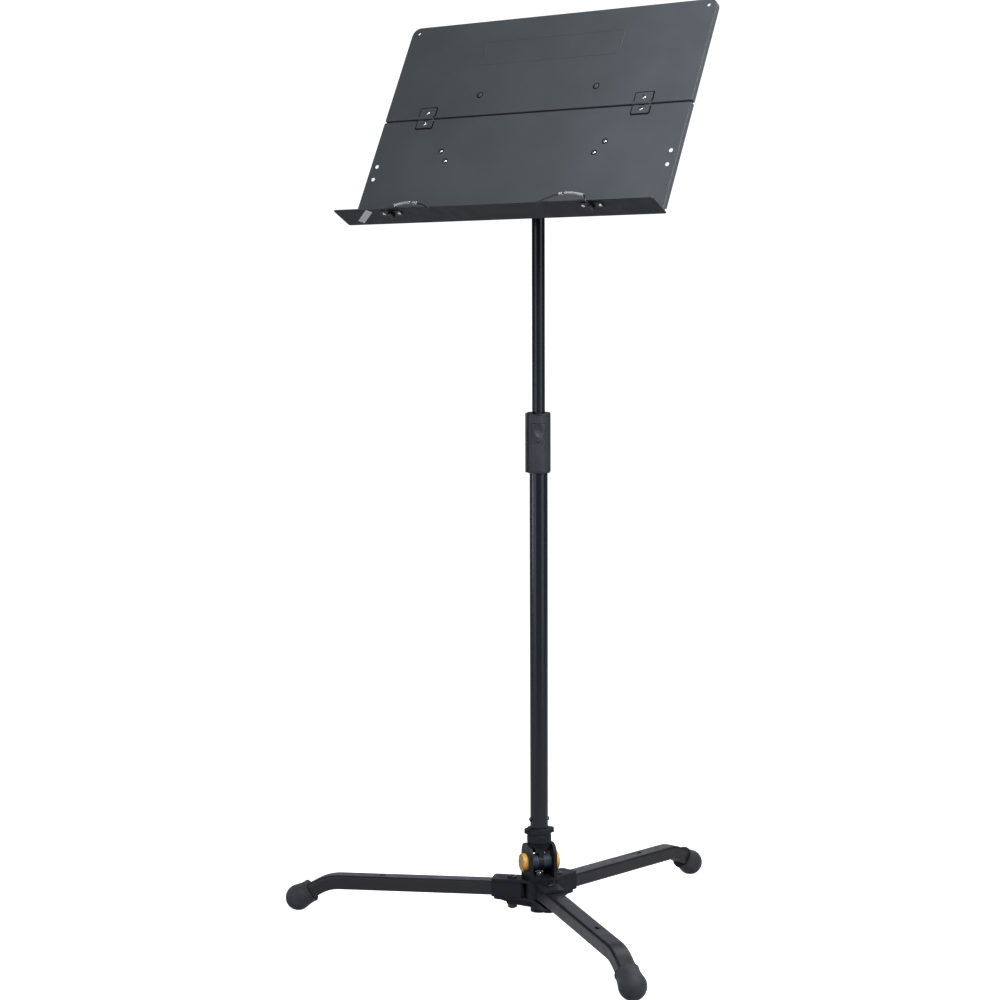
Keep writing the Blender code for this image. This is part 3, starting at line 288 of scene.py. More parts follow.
def moved(shape, matrix):
    shape.transform(matrix)
    return shape


def prism(outline, low, high):
    """The outline, drawn in XY, as a solid from z = low to z = high."""
    shape = bmesh.new()
    base = [shape.verts.new((x, y, low)) for x, y in outline]
    roof = [shape.verts.new((x, y, high)) for x, y in outline]
    shape.faces.new(base)
    shape.faces.new(roof)
    for step in range(len(base)):
        following = (step + 1) % len(base)
        shape.faces.new((base[step], base[following], roof[following], roof[step]))
    return shape


def block(x_range, y_range, z_range):
    left, right = x_range
    front, back = y_range
    return prism(((left, front), (right, front), (right, back), (left, back)), *z_range)


def turned(profile, steps=64, scale=None):
    """A solid turned about Z from (radius, z) points, a ring unless both ends lie on the axis.

    scale gives a factor for the radius from the angle and the radius.
    """
    shape = bmesh.new()
    rings = []
    for radius, z in profile:
        if radius < 1e-9:
            rings.append([shape.verts.new((0, 0, z))] * steps)
            continue
        ring = []
        for step in range(steps):
            angle = 2 * math.pi * step / steps
            reach = radius * (scale(angle, radius) if scale else 1)
            ring.append(shape.verts.new((reach * math.cos(angle), reach * math.sin(angle), z)))
        rings.append(ring)
    pairs = list(zip(rings, rings[1:]))
    if profile[0][0] > 1e-9:
        pairs.append((rings[-1], rings[0]))
    for first, second in pairs:
        for step in range(steps):
            following = (step + 1) % steps
            corners = (first[step], first[following], second[following], second[step])
            corners = list(dict.fromkeys(corners))
            if len(corners) > 2:
                shape.faces.new(corners)
    return shape


def hole(radius, low=-0.2, high=0.2, steps=32):
    """A plain cylinder about Z, to cut with or to join."""
    return turned([(0, low), (radius, low), (radius, high), (0, high)], steps)


def walls(shape, rings):
    for first, second in zip(rings, rings[1:]):
        for step in range(len(first)):
            following = (step + 1) % len(first)
            shape.faces.new((first[step], first[following], second[following], second[step]))


def swept(section, path, inner_section):
    """A hollow section of (side, up) points carried along a path in the XZ plane."""
    shape = bmesh.new()

    def ring(outline, index):
        along = (path[min(index + 1, len(path) - 1)] - path[max(index - 1, 0)]).normalized()
        here = path[index]
        places = [(here.x - along.y * up, side, here.y + along.x * up) for side, up in outline]
        return [shape.verts.new(place) for place in places]

    outer = [ring(section, index) for index in range(len(path))]
    inner = [ring(inner_section, index) for index in range(len(path))]
    for rings in (outer, inner, [outer[0], inner[0]], [outer[-1], inner[-1]]):
        walls(shape, rings)
    return shape


def rounded_path(points, radius, steps=14):
    """A path of 2D points with a curve at each inner corner."""
    path = [Vector(points[0])]
    for before, corner, after in zip(points, points[1:], points[2:]):
        corner = Vector(corner)
        arriving = (corner - Vector(before)).normalized()
        leaving = (Vector(after) - corner).normalized()
        reach = radius * math.tan(arriving.angle(leaving) / 2)
        start = corner - arriving * reach
        end = corner + leaving * reach
        for step in range(steps + 1):
            part = step / steps
            path.append(start * (1 - part) ** 2 + corner * 2 * part * (1 - part) + end * part**2)
    path.append(Vector(points[-1]))
    return path


def smooth_path(points, per=8):
    """A Catmull-Rom curve through 3D points."""
    points = [Vector(point) for point in points]
    padded = [points[0] * 2 - points[1], *points, points[-1] * 2 - points[-2]]
    path = []
    for index in range(1, len(padded) - 2):
        a, b, c, d = padded[index - 1 : index + 3]
        square = a * 2 - b * 5 + c * 4 - d
        cube = b * 3 - a - c * 3 + d
        for step in range(per):
            part = step / per
            path.append((b * 2 + (c - a) * part + square * part**2 + cube * part**3) / 2)
    return path + [points[-1]]


def coil(radius, low, high, turns, steps=28):
    points = []
    for step in range(turns * steps + 1):
        angle = 2 * math.pi * step / steps
        z = low + (high - low) * step / (turns * steps)
        points.append((radius * math.cos(angle), radius * math.sin(angle), z))
    return points


# Objects


def linked(name, data):
    made = bpy.data.objects.new(name, data)
    bpy.context.scene.collection.objects.link(made)
    return made


def mesh_object(name, shape, place):
    bmesh.ops.recalc_face_normals(shape, faces=shape.faces)
    mesh = bpy.data.meshes.new(name)
    shape.transform(place)
    shape.to_mesh(mesh)
    shape.free()
    return linked(name, mesh)


def final_mesh(made):
    graph = bpy.context.evaluated_depsgraph_get()
    return bpy.data.meshes.new_from_object(made.evaluated_get(graph))


def applied(made):
    """The object's mesh, with its modifiers made part of it."""
    mesh = final_mesh(made)
    made.modifiers.clear()
    made.data = mesh
    return mesh


def combined(made, operation, shape, place):
    """Adds a Boolean with this shape, and returns the helper object that holds the shape."""
    helper = mesh_object(f"{made.name}_helper", shape, place)
    boolean = made.modifiers.new(operation, "BOOLEAN")
    boolean.operation = operation
    boolean.object = helper
    boolean.solver = "EXACT"
    return helper


def in_common(first, second):
    """What two shapes have in common, as a new shape."""
    made = mesh_object("common", first, Matrix())
    other = combined(made, "INTERSECT", second, Matrix())
    shape = bmesh.new()
    shape.from_mesh(applied(made))
    bpy.data.objects.remove(made)
    bpy.data.objects.remove(other)
    return shape


def rounded_edges(made, width, rounds):
    bevel = made.modifiers.new("edges", "BEVEL")
    bevel.width = width
    bevel.segments = rounds
    bevel.limit_method = "ANGLE"
    bevel.angle_limit = math.radians(32)
    bevel.miter_outer = "MITER_ARC"


def attached(made, paint, body, node):
    """Paints a piece, and says which body it rides on and which CAD node it stands for, if any."""
    material = PAINT[paint]
    made.data.materials.clear()
    made.data.materials.append(material)
    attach(made, body)
    if node:
        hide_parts(node)


def piece(name, shape, paint, body, place=HUB, node="", joins=(), cuts=(), first=0.0, edge=0.0, rounds=2):
    """A solid, with shapes joined to it and cut from it.

    first rounds the solid's own edges, and edge rounds all of them once it is joined and cut.
    """
    made = mesh_object(name, shape, place)
    if first:
        rounded_edges(made, first, 4)
    helpers = [combined(made, "UNION", other, place) for other in joins]
    helpers += [combined(made, "DIFFERENCE", other, place) for other in cuts]
    if edge:
        rounded_edges(made, edge, rounds)
    mesh = applied(made)
    for helper in helpers:
        bpy.data.objects.remove(helper)
    mesh.shade_smooth()
    mesh.set_sharp_from_angle(angle=math.radians(38))
    weighted = made.modifiers.new("normals", "WEIGHTED_NORMAL")
    weighted.keep_sharp = True
    applied(made)
    attached(made, paint, body, node)


def wire(name, points, radius, paint, body, place, node=""):
    """A round wire along 3D points, with closed ends."""
    curve = bpy.data.curves.new(name, "CURVE")
    curve.dimensions = "3D"
    curve.bevel_depth = radius
    curve.bevel_resolution = 5
    curve.use_fill_caps = True
    spline = curve.splines.new("POLY")
    spline.points.add(len(points) - 1)
    for point, at in zip(spline.points, points):
        point.co = (*(place @ Vector(at)), 1.0)
    line = linked(f"{name}_line", curve)
    mesh = final_mesh(line)
    bpy.data.objects.remove(line)
    mesh.shade_smooth()
    attached(linked(name, mesh), paint, body, node)


# Materials

EVEN = (1, 1, 1)


class Surface:
    """A Principled material whose colour, roughness and relief come from procedural noise."""

    def __init__(self, name, slot, roughness, metallic=0.0, **sockets):
        self.material = bpy.data.materials.new(name)
        self.material.use_nodes = True
        self.tree = self.material.node_tree
        self.shader = self.tree.nodes["Principled BSDF"]
        self.place = self.tree.nodes.new("ShaderNodeTexCoord").outputs["Object"]
        self.normal = None
        self.shader.inputs["Metallic"].default_value = metallic
        for socket, value in sockets.items():
            self.shader.inputs[socket.replace("_", " ")].default_value = value
        self.roughness = roughness

    def noise(self, scale, detail=3.0, stretch=EVEN, cells=False):
        place = self.place
        if stretch != EVEN:
            mapping = self.tree.nodes.new("ShaderNodeMapping")
            mapping.inputs["Scale"].default_value = stretch
            self.tree.links.new(place, mapping.inputs["Vector"])
            place = mapping.outputs["Vector"]
        made = self.tree.nodes.new("ShaderNodeTexVoronoi" if cells else "ShaderNodeTexNoise")
        made.inputs["Scale"].default_value = scale
        made.inputs["Detail"].default_value = detail
        self.tree.links.new(place, made.inputs["Vector"])
        return made.outputs["Distance" if cells else "Fac"]

    def colours(self, value, dark, light):
        ramp = self.tree.nodes.new("ShaderNodeValToRGB")
        for element, at, colour in zip(ramp.color_ramp.elements, (0.3, 0.7), (dark, light)):
            element.position = at
            element.color = (*colour, 1.0)
        self.tree.links.new(value, ramp.inputs["Fac"])
        self.tree.links.new(ramp.outputs["Color"], self.shader.inputs["Base Color"])

    def rough(self, value):
        node = self.tree.nodes.new("ShaderNodeMapRange")
        for socket, number in zip(("From Min", "From Max", "To Min", "To Max"), (0.3, 0.7, *self.roughness)):
            node.inputs[socket].default_value = number
        self.tree.links.new(value, node.inputs["Value"])
        self.tree.links.new(node.outputs["Result"], self.shader.inputs["Roughness"])

    def relief(self, value, depth, strength):
        bump = self.tree.nodes.new("ShaderNodeBump")
        bump.inputs["Strength"].default_value = strength
        bump.inputs["Distance"].default_value = depth
        self.tree.links.new(value, bump.inputs["Height"])
        if self.normal:
            self.tree.links.new(self.normal, bump.inputs["Normal"])
        self.normal = bump.outputs["Normal"]
        self.tree.links.new(self.normal, self.shader.inputs["Normal"])


def painted(name, slot, roughness, tones, grain, reliefs, metallic=0.0, **sockets):
    """One material, with each noise given as a tuple for Surface.noise.

    tones is the colour's noise and its two colours, grain is the roughness's noise, and each of reliefs
    is a noise, a depth and a strength.
    """
    made = Surface(name, slot, roughness, metallic, **sockets)
    pattern, dark, light = tones
    made.colours(made.noise(*pattern), dark, light)
    made.rough(made.noise(*grain))
    for pattern, depth, strength in reliefs:
        made.relief(made.noise(*pattern), depth, strength)
    return made.material


def grey(value, warmth=0.0):
    return (value * (1 + warmth), value, value * (1 - warmth))


def nylon(name, slot, dark, light):
    reliefs = [((1300, 2, EVEN, True), 0.00015, 0.5), ((60, 1), 0.0003, 0.1)]
    return painted(name, slot, (0.42, 0.55), ((40, 4), dark, light), (150,), reliefs, Specular_IOR_Level=0.4)


def steel(name, slot, shade, roughness):
    tones = ((30, 4), grey(shade * 0.86), grey(shade, 0.01))
    return painted(name, slot, roughness, tones, (260, 4), [((700, 3), 0.00006, 0.4)], 1.0)


PAINT = {
    "desk": painted(
        "powder_coat", "desk", (0.50, 0.62), ((9, 4), (0.040, 0.045, 0.050), (0.048, 0.054, 0.060)), (60,),
        [((520, 2), 0.00025, 0.5), ((1500, 1, EVEN, True), 0.00012, 0.5)], Specular_IOR_Level=0.20,
    ),
    "tube": painted(
        "tube_paint", "tube", (0.22, 0.30),
        ((6, 5, (1, 1, 0.15)), (0.004, 0.005, 0.009), (0.007, 0.008, 0.014)),
        (50, 4, (1, 1, 0.05)), [((240, 2), 0.00008, 0.35)],
        Specular_IOR_Level=0.34, Coat_Weight=0.07, Coat_Roughness=0.15,
    ),
    "leg": painted(
        "leg_paint", "leg", (0.33, 0.45), ((12, 5), (0.006, 0.006, 0.009), (0.010, 0.010, 0.014)), (70, 4),
        [((330, 2), 0.00012, 0.4), ((30, 2), 0.0004, 0.06)],
        Specular_IOR_Level=0.4, Coat_Weight=0.05, Coat_Roughness=0.3,
    ),
    "casting": painted(
        "casting_paint", "casting", (0.42, 0.58), ((30, 5), (0.005, 0.006, 0.009), (0.009, 0.010, 0.015)),
        (120, 3), [((620, 3), 0.0003, 0.5), ((90, 2), 0.0005, 0.15)], Specular_IOR_Level=0.24,
    ),
    "plastic": nylon("black_nylon", "plastic", (0.012, 0.013, 0.018), (0.018, 0.020, 0.027)),
    "drum": nylon("slate_nylon", "plastic", (0.022, 0.032, 0.045), (0.032, 0.044, 0.060)),
    "seam": nylon("grey_nylon", "plastic", (0.030, 0.029, 0.034), (0.045, 0.043, 0.050)),
    "rubber": painted(
        "foot_rubber", "rubber", (0.62, 0.80),
        ((55, 6), (0.012, 0.013, 0.018), (0.024, 0.026, 0.034)), (90, 4),
        [((900, 3), 0.0004, 0.45), ((60, 2), 0.0008, 0.12)], Sheen_Weight=0.15, Sheen_Roughness=0.5,
    ),
    "yellow": painted(
        "button_amber", "yellow", (0.30, 0.42),
        ((45, 4), (0.55, 0.27, 0.045), (0.72, 0.40, 0.085)), (120, 3),
        [((800, 2, EVEN, True), 0.0001, 0.4)], Subsurface_Weight=0.08, Subsurface_Scale=0.004,
    ),
    "steel": steel("bright_steel", "steel", 0.80, (0.14, 0.26)),
    "dark_steel": steel("black_steel", "dark_steel", 0.060, (0.28, 0.42)),
    "washer": nylon("washer_nylon", "washer", grey(0.62, 0.02), grey(0.74, 0.02)),
    # Painted shade: this black draws the shadow rings round the rivets and the shadow outlines round the hinge
    # leaves.
    "black": painted(
        "painted_shade_black", "rubber", (0.75, 0.90), ((200, 3), grey(0.002), grey(0.005)), (300,),
        [((900, 2), 0.0001, 0.3)], Specular_IOR_Level=0.1,
    ),
    "clear": painted(
        "clear_vinyl", "washer", (0.10, 0.22), ((60,), (0.80, 0.82, 0.84), (0.92, 0.93, 0.94)), (200,),
        [((400, 1, (1, 0.3, 1)), 0.0002, 0.4)], Transmission_Weight=0.75, IOR=1.45,
    ),
    "foil": painted(
        "label_foil", "steel", (0.38, 0.50), ((80, 5), grey(0.86), grey(0.94)), (300, 3, (0.1, 1, 1)),
        [((140, 2), 0.0002, 0.2)], 0.15,
    ),
}


# Base


def make_leg(name):
    """A bent square tube with a slot in its top."""
    foot = Vector((FOOT_CENTRE, FOOT_Z))
    down = (foot - Vector((LEG_BEND_AT, LEG_BEND_Z))).normalized()
    corners = [(LEG_START, LEG_Z), (LEG_LEVEL_END, LEG_Z), (LEG_BEND_AT, LEG_BEND_Z)]
    corners += [foot + down * LEG_END_DEPTH]
    outer = rounded_rectangle(LEG_WIDTH, LEG_HEIGHT, LEG_CORNER)
    inner = rounded_rectangle(LEG_WIDTH - 2 * LEG_WALL, LEG_HEIGHT - 2 * LEG_WALL, LEG_CORNER - LEG_WALL)
    slot = rounded_rectangle(0.0100, 0.0052, 0.00255, 8)
    slot_cut = prism([(x + LEG_SLOT_AT, y) for x, y in slot], LEG_BEND_Z, LEG_Z + LEG_HEIGHT)
    cuts = (slot_cut, moved(hole(PIN_BORE), shifted(LEG_PIVOT)))
    tube = swept(outer, rounded_path(corners, LEG_BEND_RADIUS), inner)
    piece(f"{name}_leg_tube", tube, "leg", LEG_BODY[name], LEGS[name], f"{name}_leg", cuts=cuts)
    if name != "front":
        make_cheeks(name)
        make_end_plug(name)
    make_foot(name, down)


def make_cheeks(name):
    """The side plates on a swivelling leg, where it lies between the hub's arms."""
    side = LEG_WIDTH / 2
    inner = side + 0.0001
    centre = ((ARM_LENGTH + LEG_START) / 2, 0, (LOWER_PLATE_TOP + UPPER_PLATE[0]) / 2)
    outline = rounded_rectangle(ARM_LENGTH - LEG_START - 0.0005, 0.0216, 0.0012)
    for hand, low, high in (("first", -side - LEG_CHEEK, -inner), ("second", inner, side + LEG_CHEEK)):
        cheek = moved(prism(outline, low, high), shifted(*centre) @ TOWARDS_PLAYER)
        piece(f"{name}_leg_{hand}_cheek", cheek, "casting", LEG_BODY[name], LEGS[name], edge=0.0004)


def make_end_plug(name):
    """The rounded block at a swivelling leg's inner end, with a stub inside the tube."""
    half = LEG_WIDTH / 2 - 0.0004
    reach = LEG_SWEEP - 0.0009
    turn = math.degrees(math.asin(half / reach))
    outline = arc(LEG_PIVOT, 0, reach, 180 - turn, 180 + turn, 16)
    outline += [(LEG_START - 0.0002, -half), (LEG_START - 0.0002, half)]
    plug = prism(outline, LEG_Z - 0.0098, LEG_Z + 0.0098)
    stub_half = LEG_WIDTH / 2 - LEG_WALL - GAP
    stub_up = LEG_HEIGHT / 2 - LEG_WALL - GAP
    stub_along = (LEG_START - 0.0010, LEG_START + 0.0030)
    stub = block(stub_along, (-stub_half, stub_half), (LEG_Z - stub_up, LEG_Z + stub_up))
    piece(
        f"{name}_leg_end_plug", plug, "plastic", LEG_BODY[name], LEGS[name],
        joins=(stub,), edge=0.0004,
    )


def make_foot(name, down):
    """The rubber foot: a ball with a neck, hollow for the leg's end and flat underneath."""
    turn = shifted(FOOT_CENTRE, 0, FOOT_Z) @ Matrix.Rotation(math.atan2(down.x, down.y), 4, "Y")
    profile = [(0, FOOT_RADIUS)] + [(radius, z) for z, radius in arc(0, 0, FOOT_RADIUS, 5, 100, 19)]
    profile += [(FOOT_NECK + 0.0009, -FOOT_BACK * 0.42), (FOOT_NECK + 0.0002, -FOOT_BACK * 0.62)]
    profile += [(FOOT_NECK, -FOOT_BACK + 0.0030)] + arc(FOOT_NECK, -FOOT_BACK + 0.0012, 0.0006, 90, -90, 6)
    boot = moved(turned(profile + [(0, -FOOT_BACK + 0.0004)], 72), turn)
    inside = rounded_rectangle(LEG_HEIGHT + 2 * GAP, LEG_WIDTH + 2 * GAP, LEG_CORNER + GAP)
    socket = moved(prism(inside, -0.05, LEG_END_DEPTH + GAP), turn)
    under = block((0, 1), (-0.1, 0.1), (-0.05, 0))
    piece(
        f"{name}_foot_boot", boot, "rubber", LEG_BODY[name], LEGS[name], f"{name}_foot",
        cuts=(socket, under),
    )


def bolt_shape(head_radius, head_height, shank_radius, length, socket):
    """A domed bolt, its head above z = 0 and its shank below, and the cutter of its hexagon socket."""
    profile = [(0, -length), (shank_radius - 0.0004, -length), (shank_radius, -length + 0.0006)]
    profile += [(shank_radius, 0), (head_radius, 0)]
    profile += dome(head_radius, head_height * 0.4, head_height * 0.6)
    bolt = turned(profile + [(0, head_height)], 40)
    return bolt, prism(circle(socket, 6), head_height * 0.35, head_height * 2)


def make_nut(name, across, z_range, bore, paint, body, place, node):
    """A hexagon nut about Z with its corners turned down at both ends."""
    low, high = z_range
    corner = across / 2 / math.cos(math.radians(30))
    fall = 0.0009
    crown = [(0, low), (corner - fall, low), (corner + 0.0002, low + fall), (corner + 0.0002, high - fall)]
    crown += [(corner - fall, high), (0, high)]
    shape = in_common(prism(circle(corner, 6), low, high), turned(crown, 48))
    piece(name, shape, paint, body, place, node, cuts=(hole(bore),), edge=0.0002)


def pivot_bores():
    """Cutters for the hub's centre bolt and the three leg bolts."""
    pivots = [INTO_HUB @ place @ shifted(LEG_PIVOT) for place in LEGS.values()]
    return [hole(PIN_BORE)] + [moved(hole(PIN_BORE), pivot) for pivot in pivots]


def make_top_plate():
    plate = moved(prism(three_arms(UPPER_ARM_HALF, ARM_LENGTH, 0.0045), *UPPER_PLATE), INTO_HUB @ UPRIGHT)
    piece(
        "hub_plate", plate, "casting", "base", HUB, "hub_top_plate",
        cuts=pivot_bores(), edge=0.0009, rounds=3,
    )


def make_hub_body():
    """A boss and a core with a lower plate, ribs and bolt pads, hollowed where two legs' ends turn."""
    core = LOWER_PLATE_TOP - 0.001
    top = UPPER_PLATE[0] - GAP
    profile = [(0, BOSS_BOTTOM), (BOSS_RADIUS, BOSS_BOTTOM), (BOSS_RADIUS, core)]
    profile += [(CORE_RADIUS, core), (CORE_RADIUS, top), (0, top)]
    arms = three_arms(LOWER_ARM_HALF, ARM_LENGTH - 0.002, 0.0090)
    plate = prism(arms, LOWER_PLATE_TOP - LOWER_PLATE_THICKNESS, LOWER_PLATE_TOP)
    joins = [moved(plate, INTO_HUB @ UPRIGHT)]
    for place in LEGS.values():
        rib = prism([(0.008, 0.024), (0.030, 0.0265), (0.061, 0.0345), (0.008, 0.0345)], -0.009, 0.009)
        pad = turned([(0, 0.0265), (0.0085, 0.0265), (0.0085, 0.0355), (0, 0.0355)], 48)
        joins.append(moved(rib, INTO_HUB @ place @ TOWARDS_PLAYER))
        joins.append(moved(pad, INTO_HUB @ place @ shifted(LEG_PIVOT)))
    cuts = pivot_bores() + [hole(BOSS_RECESS, 0, CENTRE_HEAD_TOP + GAP, 48)]
    for name in ("left", "rear"):
        room = hole(LEG_SWEEP, LOWER_PLATE_TOP, UPPER_PLATE[0], 64)
        cuts.append(moved(room, INTO_HUB @ LEGS[name] @ shifted(LEG_PIVOT)))
    piece(
        "hub_body", turned(profile), "casting", "base", HUB, "hub_casting",
        joins=joins, cuts=cuts, edge=0.0007,
    )


def make_pivots():
    """The bolts that the legs hang on, with nuts on the two that legs swivel on."""
    head = UPPER_PLATE[1] + GAP
    for name, place in LEGS.items():
        low, high = heights(f"{name}_leg_bolt", place)
        bolt, recess = bolt_shape(0.0070, high - head, PIN_RADIUS, head - low, 0.0028)
        at = place @ shifted(LEG_PIVOT, 0, head)
        node = f"{name}_leg_bolt"
        piece(f"{name}_pivot_bolt", bolt, "dark_steel", "base", at, node, cuts=(recess,), edge=0.0002)
        if name != "front":
            node = f"{name}_leg_nut"
            at = place @ shifted(LEG_PIVOT)
            make_nut(
                f"{name}_pivot_nut", 0.0120, heights(node, place), NUT_BORE, "dark_steel",
                "base", at, node,
            )


def make_centre_bolt():
    """The bolt up through the hub, and its nut on the fork's floor."""
    make_nut("fork_nut", 0.0110, heights("hub_nut"), NUT_BORE, "steel", "base", HUB, "hub_nut")
    low, high = heights("hub_bolt")
    head = turned([(0, CENTRE_HEAD_TOP), (0.0065, CENTRE_HEAD_TOP), (0.0065, low), (0, low)])
    joins = (hole(PIN_RADIUS, CENTRE_HEAD_TOP - 0.001, high, 40),)
    cuts = (prism(circle(0.0035, 6), low - 0.01, low + 0.003),)
    piece(
        "hub_centre_bolt", head, "dark_steel", "base", HUB, "hub_bolt",
        joins=joins, cuts=cuts, edge=0.0004,
    )


def make_fork():
    """Two ears and a rear wall on a base plate, round the mast's tongue."""
    floor_z, top_z = heights("hub_fork")
    half = EAR_HALF_DEPTH
    base = block((-half, half), (-EAR_OUTER, EAR_OUTER), (floor_z, floor_z + FORK_FLOOR))
    outline = [(-half, floor_z + 0.001), (half, floor_z + 0.001)]
    outline += arc(half - EAR_CORNER, top_z - EAR_CORNER, EAR_CORNER, 0, 90, 16)
    outline += arc(EAR_CORNER - half, top_z - EAR_CORNER, EAR_CORNER, 90, 180, 16)
    back = 0.0002 - half
    reach = EAR_INNER + 0.001
    joins = [block((back, back + FORK_WALL), (-reach, reach), (floor_z + 0.001, FORK_WALL_TOP))]
    cuts = []
    for side in (-1, 1):
        low, high = sorted((side * EAR_INNER, side * EAR_OUTER))
        joins.append(moved(prism(outline, -high, -low), TOWARDS_PLAYER))
        seat = hole(BUTTON_RADIUS + 0.0005, EAR_OUTER - BUTTON_SEAT, EAR_OUTER + 0.01, 64)
        cuts.append(moved(seat, shifted(z=FOLD_Z) @ sideways(side)))
    cuts += [moved(hole(PIN_BORE), shifted(z=FOLD_Z) @ ALONG_Y), hole(PIN_BORE)]
    piece(
        "hub_ears", base, "casting", "base", HUB, "hub_fork",
        joins=joins, cuts=cuts, edge=0.0009, rounds=3,
    )


def make_fold_pin():
    """The pin that the mast folds on, and a drum, a button and a spring on each side."""
    end = extent("fold_pin", HUB)[1].y
    at = HUB @ shifted(z=FOLD_Z)
    piece(
        "hub_pin", hole(PIN_RADIUS, -end, end, 40), "steel", "base", at @ ALONG_Y, "fold_pin",
        edge=0.0005,
    )
    for name, side in SIDES:
        outward = at @ sideways(side)
        make_drum(name, outward)
        make_button(name, outward)
        low = EAR_OUTER - BUTTON_SEAT + SPRING_END
        high = BUTTON_FACE - BUTTON_ROOF - SPRING_END - BUTTON_TRAVEL
        node = f"lock_spring_{name}"
        wire(
            f"button_spring_{name}", coil(0.0062, low, high, 3), SPRING_WIRE, "steel",
            "base", outward, node,
        )


def make_drum(name, outward):
    """A sleeve between the tongue and an ear, with three fine grooves."""
    low = TONGUE_HALF + GAP
    high = EAR_INNER - GAP
    bottom = DRUM_RADIUS - 0.0005
    profile = [(PIN_BORE, low), (DRUM_RADIUS, low)]
    for part in (0.30, 0.55, 0.80):
        centre = low + (high - low) * part
        profile += [(DRUM_RADIUS, centre - 0.0005), (bottom, centre - 0.0002)]
        profile += [(bottom, centre + 0.0002), (DRUM_RADIUS, centre + 0.0005)]
    profile += [(DRUM_RADIUS, high), (PIN_BORE, high)]
    piece(f"drum_{name}", turned(profile), "drum", "base", outward, f"lock_drum_{name}", edge=0.0003)


def make_button(name, outward):
    """A cup with a slightly dished face and a rounded edge."""
    rim = EAR_OUTER - 0.0001
    roof = BUTTON_FACE - BUTTON_ROOF
    inner = BUTTON_RADIUS - 0.0024
    edge = 0.0016
    profile = [(0, BUTTON_FACE - 0.0006), (0.0060, BUTTON_FACE - 0.0005), (0.0094, BUTTON_FACE - 0.0001)]
    profile += arc(BUTTON_RADIUS - edge, BUTTON_FACE - edge, edge, 90, 0, 8)
    profile += [(BUTTON_RADIUS, rim + 0.0004), (BUTTON_RADIUS - 0.0004, rim)]
    profile += [(inner, rim), (inner, roof), (0, roof)]
    body = f"lock_button_{name}"
    piece(f"button_{name}", turned(profile, 72), "yellow", body, outward, body)


# Mast


def make_knuckle():
    """The mast's foot: tongue, V-shaped web, socket, collar with two lugs, and the spigot in the tube."""
    bottom = FOLD_Z + 0.0279
    low, high = COLLAR
    neck = SOCKET_RADIUS - 0.0007
    spigot = OUTER_RADIUS - TUBE_WALL - 0.0004
    spigot_top = heights("mast_knuckle")[1]
    profile = [(0, bottom), (SOCKET_RADIUS - 0.0012, bottom), (SOCKET_RADIUS, bottom + 0.0012)]
    profile += [(SOCKET_RADIUS, low - 0.0022), (neck, low - 0.0014), (neck, low - 0.0006)]
    profile += [(SOCKET_RADIUS, low + 0.0002), (SOCKET_RADIUS, high - 0.0010)]
    profile += [(SOCKET_RADIUS - 0.0010, high), (spigot, high), (spigot, spigot_top), (0, spigot_top)]
    half_top = EAR_INNER - GAP
    drum_top = FOLD_Z + DRUM_RADIUS + 0.0015
    web = [(-half_top, bottom + 0.002), (-half_top, bottom - 0.001), (-TONGUE_HALF, drum_top)]
    web += [(-TONGUE_HALF, FOLD_Z), (TONGUE_HALF, FOLD_Z), (TONGUE_HALF, drum_top)]
    web += [(half_top, bottom - 0.001), (half_top, bottom + 0.002)]
    fill = half_top - 0.0005
    web_back = block((-0.0080, -0.0030), (-fill, fill), (drum_top - 0.0005, bottom + 0.0015))
    tongue = moved(hole(DRUM_RADIUS, -TONGUE_HALF, TONGUE_HALF, 64), shifted(z=FOLD_Z) @ ALONG_Y)
    lug = prism(rounded_rectangle(0.0140, 2 * LUG_REACH, 0.0060, 10), low + 0.0010, high - 0.0012)
    joins = (moved(prism(web, -0.0085, 0.0085), OUTWARD), web_back, tongue, lug)
    bore = moved(hole(PIN_BORE), shifted(z=FOLD_Z) @ ALONG_Y)
    cuts = (bore, moved(hole(SCREW_BORE), shifted(z=SCREW_Z) @ ALONG_Y))
    piece(
        "mast_foot", turned(profile), "casting", "mast", HUB, "mast_knuckle",
        joins=joins, cuts=cuts, edge=0.0006,
    )


def make_tube_screws():
    for name, side in SIDES:
        screw, recess = bolt_shape(0.0030, 0.0019, 0.0015, 0.0060, 0.0013)
        at = HUB @ shifted(z=SCREW_Z) @ sideways(side) @ shifted(z=OUTER_RADIUS + GAP)
        piece(
            f"tube_screw_{name}", screw, "dark_steel", "mast", at, f"collar_screw_{name}",
            cuts=(recess,),
        )


def tube_shape(radius, low, high):
    edge = 0.0003
    inner = radius - TUBE_WALL
    profile = [(radius - edge, low), (radius, low + edge), (radius, high - edge), (radius - edge, high)]
    profile += [(inner + edge, high), (inner, high - edge), (inner, low + edge), (inner + edge, low)]
    return turned(profile, 96)


def make_tubes():
    cuts = (moved(hole(SCREW_BORE), HUB.to_3x3().to_4x4() @ shifted(z=SCREW_Z) @ ALONG_Y),)
    outer = tube_shape(OUTER_RADIUS, OUTER_TUBE[0].z, OUTER_TUBE[1].z)
    piece("mast_outer_tube", outer, "tube", "mast", UPRIGHT, "outer_tube", cuts=cuts)
    piece(
        "mast_inner_tube", tube_shape(INNER_RADIUS, *INNER_TUBE), "tube", "slide",
        UPRIGHT, "inner_tube",
    )


def soft_facets(angle, radius):
    """Ten soft facets on the sleeve's outer wall, and none inside it."""
    if radius < CLUTCH_RADIUS - CLUTCH_WALL:
        return 1.0
    turn = math.radians((math.degrees(angle) + FACET / 2) % FACET - FACET / 2)
    return 0.35 + 0.65 * math.cos(math.radians(FACET / 2)) / math.cos(turn)


